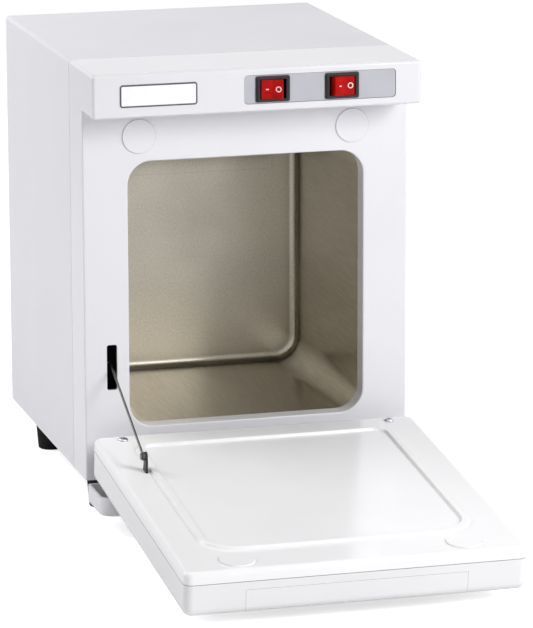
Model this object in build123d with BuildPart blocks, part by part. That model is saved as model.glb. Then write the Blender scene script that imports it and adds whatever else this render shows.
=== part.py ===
"""Countertop towel sterilizer cabinet: a sheet-steel case with a moulded front, a drawn
aluminium chamber, a drop-down door held by a wire stay, two rocker switches and a drip tray.

Frame: X to the right, Y to the back, Z up. The door is modelled where it stands open, and the
origin is on the rest plane under the middle of the whole object in that pose. The front face of
the case is then 10 mm behind the origin.
"""
import os
from math import cos, hypot, radians, sin

from build123d import *

# Case
BODY_WIDTH = 275.0
BODY_HEIGHT = 343.0
BODY_DEPTH = 289.0
FOOT_HEIGHT = 35.0
FACE = 10.0
SHEET = 1.0
FOLD_RADIUS = 3.0
REAR_FLANGE = 12.0

# Moulded front
BEZEL_DEPTH = 44.0
BEZEL_WALL = 2.5
TONGUE_LENGTH = 6.0
TONGUE_WALL = 1.5
TONGUE_PLAY = 0.1
BROW_HEIGHT = 36.0
BROW_REACH = 38.5
BROW_EDGE = 3.0
BROW_FRONT_EDGE = 2.8
FRONT_EDGE = 1.5
SEAM_CHAMFER = 0.6
OPENING_WIDTH = 199.4
OPENING_HEIGHT = 221.7
OPENING_SILL = 42.5
OPENING_CORNER = 20.0
LIP_DEPTH = 15.0
LIP_WALL = 2.0
SILL_RETURN = 12.0

# Chamber
CHAMBER_DEPTH = 200.0
CHAMBER_START = 6.0
INSULATION = 8.0
INSULATION_START = 34.0

# Door, measured from the hinge axis: s runs to the free edge, n runs to the inner face
DOOR_WIDTH = 272.0
DOOR_LENGTH = 300.5
DOOR_THICKNESS = 36.0
DOOR_TAIL = 11.1
DOOR_BELOW = 10.6
DOOR_OPEN_ANGLE = 95.9
DOOR_WALL = 2.5
DOOR_LINER_RIM = 10.0
HINGE_OUT = 28.4
HINGE_UP = 15.3
HINGE_ARM_X = 122.5
HINGE_PIN_RADIUS = 2.5
HINGE_CLEARANCE = 0.05

# Door catch and stay
CATCH_X = 90.0
CATCH_UP = 285.0
CATCH_RADIUS = 14.2
CATCH_RISE = 1.2
CATCH_TAPER = 20
STAY_X = -114.6
STAY_SLOT_X = -114.4
STAY_SLOT_WIDTH = 8.7
STAY_SLOT_HEIGHT = 38.0
STAY_SLOT_CORNER = 1.8
STAY_SLOT_UP = 94.0
STAY_REACH = 73.0
STAY_RISE = 13.0
STAY_WIRE = 1.9
STAY_CROSSING = 94.0

# Derived places
FLOOR = FOOT_HEIGHT
TOP = FLOOR + BODY_HEIGHT
BACK = FACE + BODY_DEPTH
HALF = BODY_WIDTH / 2
SEAM = FACE + BEZEL_DEPTH
BROW_FACE = FACE - BROW_REACH
BROW_MIDDLE = TOP - BROW_HEIGHT / 2
OPENING_MIDDLE = FLOOR + OPENING_SILL + OPENING_HEIGHT / 2
CHAMBER_FRONT = FACE + CHAMBER_START
CHAMBER_BACK = CHAMBER_FRONT + CHAMBER_DEPTH
CHAMBER_HALF = OPENING_WIDTH / 2 + LIP_WALL
CHAMBER_FLOOR = FLOOR + OPENING_SILL - LIP_WALL
CHAMBER_ROOF = CHAMBER_FLOOR + OPENING_HEIGHT + 2 * LIP_WALL
HINGE_Y = FACE - HINGE_OUT
HINGE_Z = FLOOR + HINGE_UP
DROOP = radians(DOOR_OPEN_ANGLE - 90)
DOOR_FACE = DOOR_THICKNESS - DOOR_BELOW
DOOR_SEAM = DOOR_FACE - DOOR_LINER_RIM
DOOR_MIDDLE = DOOR_LENGTH / 2 - DOOR_TAIL
DOOR_TIP = DOOR_LENGTH - DOOR_TAIL
DOOR_NORMAL = Axis((0, HINGE_Y, HINGE_Z), (0, -sin(DROOP), cos(DROOP)))

os.makedirs("parts", exist_ok=True)


def front_plane(y):
    """Plane facing the front at y: its x is X, its y is Z, and its normal points to -Y."""
    return Plane(origin=(0, y, 0), x_dir=(1, 0, 0), z_dir=(0, -1, 0))


def side_plane(x):
    """Plane facing the right at x: its x is Y, its y is Z, and its normal points to +X."""
    return Plane(origin=(x, 0, 0), x_dir=(0, 1, 0), z_dir=(1, 0, 0))


def door_plane(height):
    """Plane along the open door at a height over the hinge axis: its y runs to the free edge."""
    normal = (0, -sin(DROOP), cos(DROOP))
    base = Plane(origin=(0, HINGE_Y, HINGE_Z), x_dir=(-1, 0, 0), z_dir=normal)
    return base.offset(height)


def door_side_plane(x):
    """Plane across the open door at x: its x runs to the free edge, its y to the inner face."""
    along = (0, -cos(DROOP), -sin(DROOP))
    return Plane(origin=(x, HINGE_Y, HINGE_Z), x_dir=along, z_dir=(-1, 0, 0))


def save(piece, name):
    """Label a finished piece and write its STEP file."""
    piece.part.label = name
    export_step(piece.part, f"parts/{name}.step")


# Outer cover: one sheet folded over the top, with its rear edge turned in for the back panel
COVER_MIDDLE = FLOOR + BODY_HEIGHT / 2
with BuildPart() as outer_cover:
    with BuildSketch(front_plane(BACK)) as wrap:
        with Locations((0, COVER_MIDDLE)):
            Rectangle(BODY_WIDTH, BODY_HEIGHT)
        fillet(wrap.vertices().group_by(Axis.Y)[-1], FOLD_RADIUS)
        with Locations((0, COVER_MIDDLE - SHEET / 2)):
            Rectangle(BODY_WIDTH - 2 * SHEET, BODY_HEIGHT - SHEET, mode=Mode.SUBTRACT)
    extrude(amount=BACK - SEAM)
    with BuildSketch(front_plane(BACK)) as rear_flange:
        with Locations((0, COVER_MIDDLE)):
            Rectangle(BODY_WIDTH, BODY_HEIGHT)
        fillet(rear_flange.vertices().group_by(Axis.Y)[-1], FOLD_RADIUS)
        with Locations((0, COVER_MIDDLE - REAR_FLANGE / 2)):
            Rectangle(
                BODY_WIDTH - 2 * REAR_FLANGE, BODY_HEIGHT - REAR_FLANGE, mode=Mode.SUBTRACT
            )
    extrude(amount=SHEET)

REAR_SCREW_RADIUS = 1.6
REAR_SCREW_X = HALF - REAR_FLANGE / 2
REAR_SCREW_RISES = (28.0, 122.0, 216.0, 310.0)
REAR_TOP_SCREW_X = 62.0
rear_screw_points = [
    (side * REAR_SCREW_X, FLOOR + rise) for side in (-1, 1) for rise in REAR_SCREW_RISES
]
rear_screw_points += [(side * REAR_TOP_SCREW_X, TOP - REAR_FLANGE / 2) for side in (-1, 1)]
with outer_cover:
    with BuildSketch(front_plane(BACK)):
        with Locations(*rear_screw_points):
            Circle(REAR_SCREW_RADIUS)
    extrude(amount=SHEET, mode=Mode.SUBTRACT)
save(outer_cover, "outer_cover")

# Base pan: a shallow tray with its edges turned up, which the feet and hinges bolt to
PAN_SHEET = 1.2
PAN_HALF = HALF - SHEET - TONGUE_PLAY - TONGUE_WALL
PAN_FRONT = FACE + SILL_RETURN
PAN_BACK = BACK - 2 * SHEET
PAN_FLANGE = 15.0
FOOT_X = 113.0
FOOT_FRONT_Y = FACE + 46.0
FOOT_BACK_Y = BACK - 46.0
FOOT_SCREW_HOLE = 2.6
foot_points = [(side * FOOT_X, y) for side in (-1, 1) for y in (FOOT_FRONT_Y, FOOT_BACK_Y)]
HINGE_SCREW_X = 106.0
HINGE_SCREW_Y = FACE + 21.0
HINGE_SCREW_HOLE = 2.1
hinge_screw_points = [(-HINGE_SCREW_X, HINGE_SCREW_Y), (HINGE_SCREW_X, HINGE_SCREW_Y)]
PAN_LENGTH = PAN_BACK - PAN_FRONT
PAN_MIDDLE = (PAN_BACK + PAN_FRONT) / 2
PAN_VENT_Y = PAN_MIDDLE + 25.0
PAN_VENT_PITCH = 14.0
PAN_VENTS = 7
PAN_VENT_LENGTH = 60.0
PAN_VENT_WIDTH = 5.0
with BuildPart() as base_pan:
    with BuildSketch(Plane.XY.offset(FLOOR)):
        with Locations((0, PAN_MIDDLE)):
            Rectangle(2 * PAN_HALF, PAN_LENGTH)
    extrude(amount=PAN_FLANGE)
    with BuildSketch(Plane.XY.offset(FLOOR + PAN_SHEET)):
        with Locations((0, PAN_MIDDLE)):
            Rectangle(2 * (PAN_HALF - PAN_SHEET), PAN_LENGTH - 2 * PAN_SHEET)
    extrude(amount=PAN_FLANGE, mode=Mode.SUBTRACT)
    with BuildSketch(Plane.XY.offset(FLOOR)):
        with Locations(*foot_points):
            Circle(FOOT_SCREW_HOLE)
        with Locations(*hinge_screw_points):
            Circle(HINGE_SCREW_HOLE)
        with Locations((0, PAN_VENT_Y)):
            with GridLocations(PAN_VENT_PITCH, 0, PAN_VENTS, 1):
                SlotOverall(PAN_VENT_LENGTH, PAN_VENT_WIDTH, rotation=90)
    extrude(amount=PAN_SHEET, mode=Mode.SUBTRACT)
save(base_pan, "base_pan")

# Back panel: closes the rear behind the cover's flange, with vent slots and the gland hole
PANEL_HALF = HALF - SHEET
PANEL_HEIGHT = BODY_HEIGHT - SHEET
GLAND_X = 98.0
GLAND_Z = FLOOR + 34.0
GLAND_HOLE = 8.0
VENT_LOW_RISE = 60.0
VENT_HIGH_RISE = 285.0
VENT_PITCH = 13.0
VENTS = 9
VENT_LENGTH = 46.0
VENT_WIDTH = 4.5
with BuildPart() as back_panel:
    with BuildSketch(front_plane(BACK - SHEET)):
        with Locations((0, FLOOR + PANEL_HEIGHT / 2)):
            Rectangle(2 * PANEL_HALF, PANEL_HEIGHT)
        with Locations(*rear_screw_points):
            Circle(REAR_SCREW_RADIUS, mode=Mode.SUBTRACT)
        with Locations((GLAND_X, GLAND_Z)):
            Circle(GLAND_HOLE, mode=Mode.SUBTRACT)
        with Locations((0, FLOOR + VENT_LOW_RISE), (0, FLOOR + VENT_HIGH_RISE)):
            with GridLocations(VENT_PITCH, 0, VENTS, 1):
                SlotOverall(VENT_LENGTH, VENT_WIDTH, rotation=90, mode=Mode.SUBTRACT)
    extrude(amount=SHEET)
save(back_panel, "back_panel")

# Rear screws: pan heads on the cover's flange
SCREW_HEAD_RADIUS = 3.5
SCREW_HEAD_HEIGHT = 2.2
SCREW_HEAD_ROUND = 1.2
SHANK_PLAY = 0.1
REAR_SCREW_LENGTH = 4.0
with BuildPart() as rear_screws:
    with BuildSketch(front_plane(BACK)):
        with Locations(*rear_screw_points):
            Circle(SCREW_HEAD_RADIUS)
    extrude(amount=-SCREW_HEAD_HEIGHT)
    fillet(rear_screws.edges().group_by(Axis.Y)[-1], SCREW_HEAD_ROUND)
    with BuildSketch(front_plane(BACK)):
        with Locations(*rear_screw_points):
            Circle(REAR_SCREW_RADIUS - SHANK_PLAY)
    extrude(amount=REAR_SCREW_LENGTH)
save(rear_screws, "rear_screws")

# Cord gland: the strain relief in the back panel, with the bore that a cord would leave by
GLAND_BORE = 3.6
GLAND_FLANGE = 11.0
GLAND_FLANGE_SHEET = 3.0
GLAND_FLANGE_ROUND = 1.0
GLAND_NOSE = 6.2
GLAND_NOSE_LENGTH = 8.0
GLAND_NOSE_TAPER = 8
GLAND_TAIL = 6.0
GLAND_SEAT = BACK - SHEET
GLAND_FACE = GLAND_SEAT + GLAND_FLANGE_SHEET
GLAND_LENGTH = GLAND_NOSE_LENGTH + GLAND_FLANGE_SHEET + SHEET + GLAND_TAIL
with BuildPart() as cord_gland:
    with BuildSketch(front_plane(GLAND_SEAT)):
        with Locations((GLAND_X, GLAND_Z)):
            Circle(GLAND_FLANGE)
    extrude(amount=-GLAND_FLANGE_SHEET)
    fillet(cord_gland.edges().group_by(Axis.Y)[-1], GLAND_FLANGE_ROUND)
    with BuildSketch(front_plane(GLAND_FACE)):
        with Locations((GLAND_X, GLAND_Z)):
            Circle(GLAND_NOSE)
    extrude(amount=-GLAND_NOSE_LENGTH, taper=GLAND_NOSE_TAPER)
    with BuildSketch(front_plane(GLAND_SEAT)):
        with Locations((GLAND_X, GLAND_Z)):
            Circle(GLAND_HOLE)
    extrude(amount=SHEET + GLAND_TAIL)
    with BuildSketch(front_plane(GLAND_FACE + GLAND_NOSE_LENGTH)):
        with Locations((GLAND_X, GLAND_Z)):
            Circle(GLAND_BORE)
    extrude(amount=GLAND_LENGTH, mode=Mode.SUBTRACT)
save(cord_gland, "cord_gland")

# Front bezel: the moulded front, with its header, flanged opening, side returns and tongue
LABEL_X = -82.8
LABEL_WIDTH = 64.0
LABEL_HEIGHT = 18.4
LABEL_CORNER = 2.4
LABEL_Z = TOP - 18.1
LABEL_POCKET = 0.6
INLAY_X = 51.8
INLAY_WIDTH = 127.6
INLAY_HEIGHT = 23.6
INLAY_CORNER = 3.2
INLAY_POCKET = 1.8
INLAY_SHEET = 1.2
BROW_FRONT_WALL = 3.4
SWITCH_UV_X = 11.9
SWITCH_POWER_X = 70.0
SWITCH_Z = TOP - 17.7
SWITCH_BODY_WIDTH = 25.4
SWITCH_BODY_HEIGHT = 18.4
SWITCH_BODY_DEPTH = 19.0
SWITCH_PLAY = 0.2
switch_points = [(SWITCH_UV_X, SWITCH_Z), (SWITCH_POWER_X, SWITCH_Z)]
catch_points = [(-CATCH_X, FLOOR + CATCH_UP), (CATCH_X, FLOOR + CATCH_UP)]
MAGNET_RADIUS = 10.0
MAGNET_HEIGHT = 4.0
SOCKET_WALL = 2.2
MOUTH_ROUND = 1.2
with BuildPart() as front_bezel:
    with BuildSketch(front_plane(SEAM)) as frame:
        with Locations((0, COVER_MIDDLE)):
            Rectangle(BODY_WIDTH, BODY_HEIGHT)
        fillet(frame.vertices().group_by(Axis.Y)[-1], FOLD_RADIUS)
    extrude(amount=BEZEL_DEPTH)
    fillet(front_bezel.faces().sort_by(Axis.Y)[0].edges().filter_by(Axis.Z), FRONT_EDGE)
    chamfer(front_bezel.faces().sort_by(Axis.Y)[-1].edges(), SEAM_CHAMFER)
    with BuildSketch(front_plane(FACE + FRONT_EDGE)) as header:
        with Locations((0, BROW_MIDDLE)):
            Rectangle(BODY_WIDTH, BROW_HEIGHT)
        fillet(header.vertices().group_by(Axis.Y)[-1], FOLD_RADIUS)
        fillet(header.vertices().group_by(Axis.Y)[0], BROW_EDGE)
    extrude(amount=BROW_REACH + FRONT_EDGE)
    fillet(front_bezel.faces().sort_by(Axis.Y)[0].edges(), BROW_FRONT_EDGE)
    with BuildSketch(front_plane(SEAM)):
        with Locations((0, COVER_MIDDLE)):
            Rectangle(BODY_WIDTH - 2 * BEZEL_WALL, BODY_HEIGHT - 2 * BEZEL_WALL)
    extrude(amount=BEZEL_DEPTH - BEZEL_WALL, mode=Mode.SUBTRACT)
    with BuildSketch(front_plane(SEAM)):
        with Locations((0, FLOOR + BEZEL_WALL / 2)):
            Rectangle(BODY_WIDTH - 2 * BEZEL_WALL, BEZEL_WALL)
    extrude(amount=BEZEL_DEPTH - SILL_RETURN, mode=Mode.SUBTRACT)
    with BuildSketch(front_plane(FACE + BEZEL_WALL)):
        with Locations((0, BROW_MIDDLE)):
            Rectangle(BODY_WIDTH - 2 * BEZEL_WALL, BROW_HEIGHT - 2 * BEZEL_WALL)
    extrude(amount=BROW_REACH + BEZEL_WALL - BROW_FRONT_WALL, mode=Mode.SUBTRACT)
    with BuildSketch(front_plane(SEAM + TONGUE_LENGTH)):
        with Locations((0, COVER_MIDDLE - SHEET / 2)):
            Rectangle(
                BODY_WIDTH - 2 * (SHEET + TONGUE_PLAY), BODY_HEIGHT - SHEET - TONGUE_PLAY
            )
        with Locations((0, COVER_MIDDLE - (SHEET + TONGUE_WALL) / 2)):
            Rectangle(2 * PAN_HALF, BODY_HEIGHT - SHEET - TONGUE_WALL, mode=Mode.SUBTRACT)
    extrude(amount=TONGUE_LENGTH + BEZEL_WALL)
    with BuildSketch(front_plane(FACE + LIP_DEPTH)):
        with Locations((0, OPENING_MIDDLE)):
            RectangleRounded(
                OPENING_WIDTH + 2 * LIP_WALL,
                OPENING_HEIGHT + 2 * LIP_WALL,
                OPENING_CORNER + LIP_WALL,
            )
    extrude(amount=LIP_DEPTH)
    with BuildSketch(front_plane(FACE + LIP_DEPTH)):
        with Locations((0, OPENING_MIDDLE)):
            RectangleRounded(OPENING_WIDTH, OPENING_HEIGHT, OPENING_CORNER)
    extrude(amount=LIP_DEPTH, mode=Mode.SUBTRACT)
    mouth = front_bezel.faces().filter_by(Plane.XZ).sort_by(Axis.Y)
    rim = [e for f in mouth for w in f.inner_wires() for e in w.edges()]
    rim = [e for e in rim if abs(e.center().Y - FACE) < 0.01]
    fillet(rim, MOUTH_ROUND)
    with BuildSketch(front_plane(FACE)):
        with Locations(*catch_points):
            Circle(CATCH_RADIUS)
    extrude(amount=CATCH_RISE, taper=CATCH_TAPER)
    with BuildSketch(front_plane(FACE + BEZEL_WALL + MAGNET_HEIGHT)):
        with Locations(*catch_points):
            Circle(MAGNET_RADIUS + SOCKET_WALL)
            Circle(MAGNET_RADIUS, mode=Mode.SUBTRACT)
    extrude(amount=MAGNET_HEIGHT)
    with BuildSketch(front_plane(FACE + BEZEL_WALL)):
        with Locations((STAY_SLOT_X, FLOOR + STAY_SLOT_UP)):
            RectangleRounded(STAY_SLOT_WIDTH, STAY_SLOT_HEIGHT, STAY_SLOT_CORNER)
    extrude(amount=BEZEL_WALL, mode=Mode.SUBTRACT)
    with BuildSketch(front_plane(BROW_FACE)):
        with Locations((LABEL_X, LABEL_Z)):
            RectangleRounded(LABEL_WIDTH, LABEL_HEIGHT, LABEL_CORNER)
    extrude(amount=-LABEL_POCKET, mode=Mode.SUBTRACT)
    with BuildSketch(front_plane(BROW_FACE)):
        with Locations((INLAY_X, SWITCH_Z)):
            RectangleRounded(INLAY_WIDTH, INLAY_HEIGHT, INLAY_CORNER)
    extrude(amount=-INLAY_POCKET, mode=Mode.SUBTRACT)
    with BuildSketch(front_plane(BROW_FACE)):
        with Locations(*switch_points):
            Rectangle(SWITCH_BODY_WIDTH + SWITCH_PLAY, SWITCH_BODY_HEIGHT + SWITCH_PLAY)
    extrude(amount=-BROW_FRONT_WALL, mode=Mode.SUBTRACT)
save(front_bezel, "front_bezel")

# Label plate: a blank plate in the header's left pocket
PLATE_GAP = 0.25
PLATE_SHEET = 1.0
with BuildPart() as label_plate:
    with BuildSketch(front_plane(BROW_FACE + LABEL_POCKET)):
        with Locations((LABEL_X, LABEL_Z)):
            RectangleRounded(
                LABEL_WIDTH - 2 * PLATE_GAP,
                LABEL_HEIGHT - 2 * PLATE_GAP,
                LABEL_CORNER - PLATE_GAP,
            )
    extrude(amount=PLATE_SHEET)
save(label_plate, "label_plate")

# Switch inlay: the thin panel that the two switches clamp into the header's pocket
INLAY_BACK = BROW_FACE + INLAY_POCKET
with BuildPart() as switch_inlay:
    with BuildSketch(front_plane(INLAY_BACK)):
        with Locations((INLAY_X, SWITCH_Z)):
            RectangleRounded(
                INLAY_WIDTH - 2 * PLATE_GAP, INLAY_HEIGHT - 2 * PLATE_GAP, INLAY_CORNER
            )
        with Locations(*switch_points):
            Rectangle(
                SWITCH_BODY_WIDTH + SWITCH_PLAY,
                SWITCH_BODY_HEIGHT + SWITCH_PLAY,
                mode=Mode.SUBTRACT,
            )
    extrude(amount=INLAY_SHEET)
save(switch_inlay, "switch_inlay")

# Rocker switches: a hollow housing with a flange, blade terminals, and a rocker on trunnions
FLANGE_WIDTH = 28.4
FLANGE_HEIGHT = 21.0
FLANGE_DEPTH = 2.2
FLANGE_CORNER = 1.4
FLANGE_CHAMFER = 1.3
FLANGE_SEAT = INLAY_BACK - INLAY_SHEET
FLANGE_FACE = FLANGE_SEAT - FLANGE_DEPTH
ROCKER_WINDOW_WIDTH = 22.0
ROCKER_WINDOW_HEIGHT = 16.0
ROCKER_WELL = 11.0
ROCKER_AXIS_DEPTH = 5.0
ROCKER_THROW = 12.0
TRUNNION_RADIUS = 1.2
TRUNNION_LENGTH = 1.0
TRUNNION_CLEARANCE = 0.05
TRUNNION_END_GAP = 0.1
ROCKER_HEIGHT = ROCKER_WINDOW_HEIGHT - 0.7
ROCKER_HALF = 9.0
ROCKER_CREST = 7.4
ROCKER_VALLEY = 5.9
ROCKER_ROUND = 0.9
ROCKER_BELLY_HALF = 9.4
ROCKER_BELLY_RADIUS = 20.0
ROCKER_AXIS_Y = FLANGE_FACE + ROCKER_AXIS_DEPTH
SOCKET_REACH = ROCKER_HEIGHT / 2 + TRUNNION_LENGTH + TRUNNION_END_GAP
TERMINAL_LENGTH = 8.0
TERMINAL_PITCH_X = 14.0
TERMINAL_PITCH_Z = 9.0
BLADE_WIDTH = 4.8
BLADE_SHEET = 0.8


def switch_housing(x):
    """Housing with its rocker well, trunnion sockets and a rounded flange, centred on x."""
    with BuildPart() as housing:
        with BuildSketch(front_plane(FLANGE_SEAT + SWITCH_BODY_DEPTH)):
            with Locations((x, SWITCH_Z)):
                Rectangle(SWITCH_BODY_WIDTH, SWITCH_BODY_HEIGHT)
        extrude(amount=SWITCH_BODY_DEPTH)
        with BuildSketch(front_plane(FLANGE_SEAT)):
            with Locations((x, SWITCH_Z)):
                RectangleRounded(FLANGE_WIDTH, FLANGE_HEIGHT, FLANGE_CORNER)
        extrude(amount=FLANGE_DEPTH)
        front = housing.faces().sort_by(Axis.Y)[0]
        chamfer(front.edges(), FLANGE_CHAMFER)
        with BuildSketch(front_plane(FLANGE_FACE)):
            with Locations((x, SWITCH_Z)):
                Rectangle(ROCKER_WINDOW_WIDTH, ROCKER_WINDOW_HEIGHT)
        extrude(amount=-ROCKER_WELL, mode=Mode.SUBTRACT)
        with BuildSketch(Plane.XY.offset(SWITCH_Z)):
            with Locations((x, ROCKER_AXIS_Y)):
                Circle(TRUNNION_RADIUS + TRUNNION_CLEARANCE)
        extrude(amount=SOCKET_REACH, both=True, mode=Mode.SUBTRACT)
    return housing


def switch_terminals(x):
    """Four brass blades standing from the back of a housing, centred on x."""
    with BuildPart() as blades:
        with BuildSketch(front_plane(FLANGE_SEAT + SWITCH_BODY_DEPTH + TERMINAL_LENGTH)):
            with Locations((x, SWITCH_Z)):
                with GridLocations(TERMINAL_PITCH_X, TERMINAL_PITCH_Z, 2, 2):
                    Rectangle(BLADE_SHEET, BLADE_WIDTH)
        extrude(amount=TERMINAL_LENGTH)
    return blades


def rocker(x, turn):
    """Rocker with a shallow V face and two trunnions, turned about its upright axis at x."""
    lean = radians(turn)
    axis = Plane(
        origin=(x, ROCKER_AXIS_Y, SWITCH_Z - ROCKER_HEIGHT / 2),
        x_dir=(cos(lean), sin(lean), 0),
        z_dir=(0, 0, 1),
    )
    with BuildPart() as button:
        with BuildSketch(axis) as outline:
            with BuildLine():
                Polyline(
                    (-ROCKER_BELLY_HALF, 0),
                    (-ROCKER_HALF, -ROCKER_CREST),
                    (0, -ROCKER_VALLEY),
                    (ROCKER_HALF, -ROCKER_CREST),
                    (ROCKER_BELLY_HALF, 0),
                )
                RadiusArc((ROCKER_BELLY_HALF, 0), (-ROCKER_BELLY_HALF, 0), -ROCKER_BELLY_RADIUS)
            make_face()
            fillet(outline.vertices().group_by(Axis.Y)[0], ROCKER_ROUND)
        extrude(amount=ROCKER_HEIGHT)
        with BuildSketch(axis.offset(-TRUNNION_LENGTH)):
            Circle(TRUNNION_RADIUS)
        extrude(amount=ROCKER_HEIGHT + 2 * TRUNNION_LENGTH)
    return button


uv_switch_housing = switch_housing(SWITCH_UV_X)
save(uv_switch_housing, "uv_switch_housing")
power_switch_housing = switch_housing(SWITCH_POWER_X)
save(power_switch_housing, "power_switch_housing")
uv_switch_terminals = switch_terminals(SWITCH_UV_X)
save(uv_switch_terminals, "uv_switch_terminals")
power_switch_terminals = switch_terminals(SWITCH_POWER_X)
save(power_switch_terminals, "power_switch_terminals")
uv_rocker = rocker(SWITCH_UV_X, -ROCKER_THROW)
save(uv_rocker, "uv_rocker")
power_rocker = rocker(SWITCH_POWER_X, ROCKER_THROW)
save(power_rocker, "power_rocker")

# Catch magnets: one disc behind each round boss of the bezel
with BuildPart() as catch_magnets:
    with BuildSketch(front_plane(FACE + BEZEL_WALL + MAGNET_HEIGHT)):
        with Locations(*catch_points):
            Circle(MAGNET_RADIUS)
    extrude(amount=MAGNET_HEIGHT)
save(catch_magnets, "catch_magnets")

# Stay guide: the hard-wearing plate behind the bezel's slot that the wire stay runs through
GUIDE_SHEET = 3.0
GUIDE_WIDTH = 22.0
GUIDE_HEIGHT = 58.0
GUIDE_CORNER = 4.0
with BuildPart() as stay_guide:
    with BuildSketch(front_plane(FACE + BEZEL_WALL + GUIDE_SHEET)):
        with Locations((STAY_SLOT_X, FLOOR + STAY_SLOT_UP)):
            RectangleRounded(GUIDE_WIDTH, GUIDE_HEIGHT, GUIDE_CORNER)
            RectangleRounded(
                STAY_SLOT_WIDTH, STAY_SLOT_HEIGHT, STAY_SLOT_CORNER, mode=Mode.SUBTRACT
            )
    extrude(amount=GUIDE_SHEET)
save(stay_guide, "stay_guide")

# Chamber liner: a deep-drawn aluminium box that slips over the bezel's lip
LINER_SHEET = 1.0
RIVET_Y = FACE + 19.0
RIVET_RISES = (146.8, 166.8)
RIVET_HOLE = 1.7
FUSE_RISE = 196.0
LINER_HALF = CHAMBER_HALF + LINER_SHEET
CHAMBER_HEIGHT = CHAMBER_ROOF - CHAMBER_FLOOR
CHAMBER_CORNER = OPENING_CORNER + LIP_WALL
CHAMBER_BACK_RADIUS = 7.0
PIERCE = 1.0
rivet_points = [(RIVET_Y, FLOOR + rise) for rise in RIVET_RISES + (FUSE_RISE,)]
with BuildPart() as chamber_liner:
    with BuildSketch(front_plane(CHAMBER_BACK + LINER_SHEET)):
        with Locations((0, OPENING_MIDDLE)):
            RectangleRounded(
                2 * LINER_HALF, CHAMBER_HEIGHT + 2 * LINER_SHEET, CHAMBER_CORNER + LINER_SHEET
            )
    extrude(amount=CHAMBER_DEPTH + LINER_SHEET)
    rear = chamber_liner.faces().sort_by(Axis.Y)[-1]
    fillet(rear.edges(), CHAMBER_BACK_RADIUS + LINER_SHEET)
    mouth = chamber_liner.faces().sort_by(Axis.Y)[0]
    offset(amount=-LINER_SHEET, openings=mouth)
    with BuildSketch(side_plane(CHAMBER_HALF - PIERCE)):
        with Locations(*rivet_points):
            Circle(RIVET_HOLE)
    extrude(amount=LINER_SHEET + 2 * PIERCE, mode=Mode.SUBTRACT)
save(chamber_liner, "chamber_liner")

# Thermostat and thermal fuse, riveted to the outside of the liner's right wall near the front
EAR_SHEET = 0.8
EAR_WIDTH = 9.0
THERMOSTAT_RISE = sum(RIVET_RISES) / 2
THERMOSTAT_SPAN = 31.0
THERMOSTAT_FLANGE = 8.0
THERMOSTAT_RADIUS = 6.2
THERMOSTAT_HEIGHT = 8.0
THERMOSTAT_BLADE_PITCH = 7.0
THERMOSTAT_BLADE_LENGTH = 7.0
with BuildPart() as thermostat:
    with BuildSketch(side_plane(LINER_HALF)):
        with Locations((RIVET_Y, FLOOR + THERMOSTAT_RISE)):
            SlotOverall(THERMOSTAT_SPAN, EAR_WIDTH, rotation=90)
            Circle(THERMOSTAT_FLANGE)
        with Locations(*rivet_points[:2]):
            Circle(RIVET_HOLE, mode=Mode.SUBTRACT)
    extrude(amount=EAR_SHEET)
    with BuildSketch(side_plane(LINER_HALF + EAR_SHEET)):
        with Locations((RIVET_Y, FLOOR + THERMOSTAT_RISE)):
            Circle(THERMOSTAT_RADIUS)
    extrude(amount=THERMOSTAT_HEIGHT)
    with BuildSketch(side_plane(LINER_HALF + EAR_SHEET + THERMOSTAT_HEIGHT)):
        with Locations((RIVET_Y, FLOOR + THERMOSTAT_RISE)):
            with GridLocations(0, THERMOSTAT_BLADE_PITCH, 1, 2):
                Rectangle(BLADE_WIDTH, BLADE_SHEET)
    extrude(amount=THERMOSTAT_BLADE_LENGTH)
save(thermostat, "thermostat")

FUSE_SPAN = 24.0
FUSE_EAR_RISE = FUSE_RISE + 6.0
FUSE_TUBE_RISE = FUSE_RISE + 11.0
FUSE_TUBE_RADIUS = 2.0
FUSE_TUBE_SINK = 0.1
FUSE_TUBE_LENGTH = 18.0
FUSE_TUBE_X = LINER_HALF + EAR_SHEET + FUSE_TUBE_RADIUS - FUSE_TUBE_SINK
with BuildPart() as thermal_fuse:
    with BuildSketch(side_plane(LINER_HALF)):
        with Locations((RIVET_Y, FLOOR + FUSE_EAR_RISE)):
            SlotOverall(FUSE_SPAN, EAR_WIDTH, rotation=90)
        with Locations(rivet_points[2]):
            Circle(RIVET_HOLE, mode=Mode.SUBTRACT)
    extrude(amount=EAR_SHEET)
    with BuildSketch(front_plane(RIVET_Y)):
        with Locations((FUSE_TUBE_X, FLOOR + FUSE_TUBE_RISE)):
            Circle(FUSE_TUBE_RADIUS)
    extrude(amount=FUSE_TUBE_LENGTH / 2, both=True)
save(thermal_fuse, "thermal_fuse")

RIVET_HEAD_RADIUS = 3.2
RIVET_HEAD_HEIGHT = 1.5
RIVET_HEAD_ROUND = 1.3
RIVET_PLAY = 0.05
RIVET_TAIL_RADIUS = 2.4
RIVET_TAIL_HEIGHT = 0.9
with BuildPart() as liner_rivets:
    with BuildSketch(side_plane(CHAMBER_HALF)):
        with Locations(*rivet_points):
            Circle(RIVET_HEAD_RADIUS)
    extrude(amount=-RIVET_HEAD_HEIGHT)
    fillet(liner_rivets.edges().group_by(Axis.X)[0], RIVET_HEAD_ROUND)
    with BuildSketch(side_plane(CHAMBER_HALF)):
        with Locations(*rivet_points):
            Circle(RIVET_HOLE - RIVET_PLAY)
    extrude(amount=LINER_SHEET + EAR_SHEET)
    with BuildSketch(side_plane(LINER_HALF + EAR_SHEET)):
        with Locations(*rivet_points):
            Circle(RIVET_TAIL_RADIUS)
    extrude(amount=RIVET_TAIL_HEIGHT)
save(liner_rivets, "liner_rivets")

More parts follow.
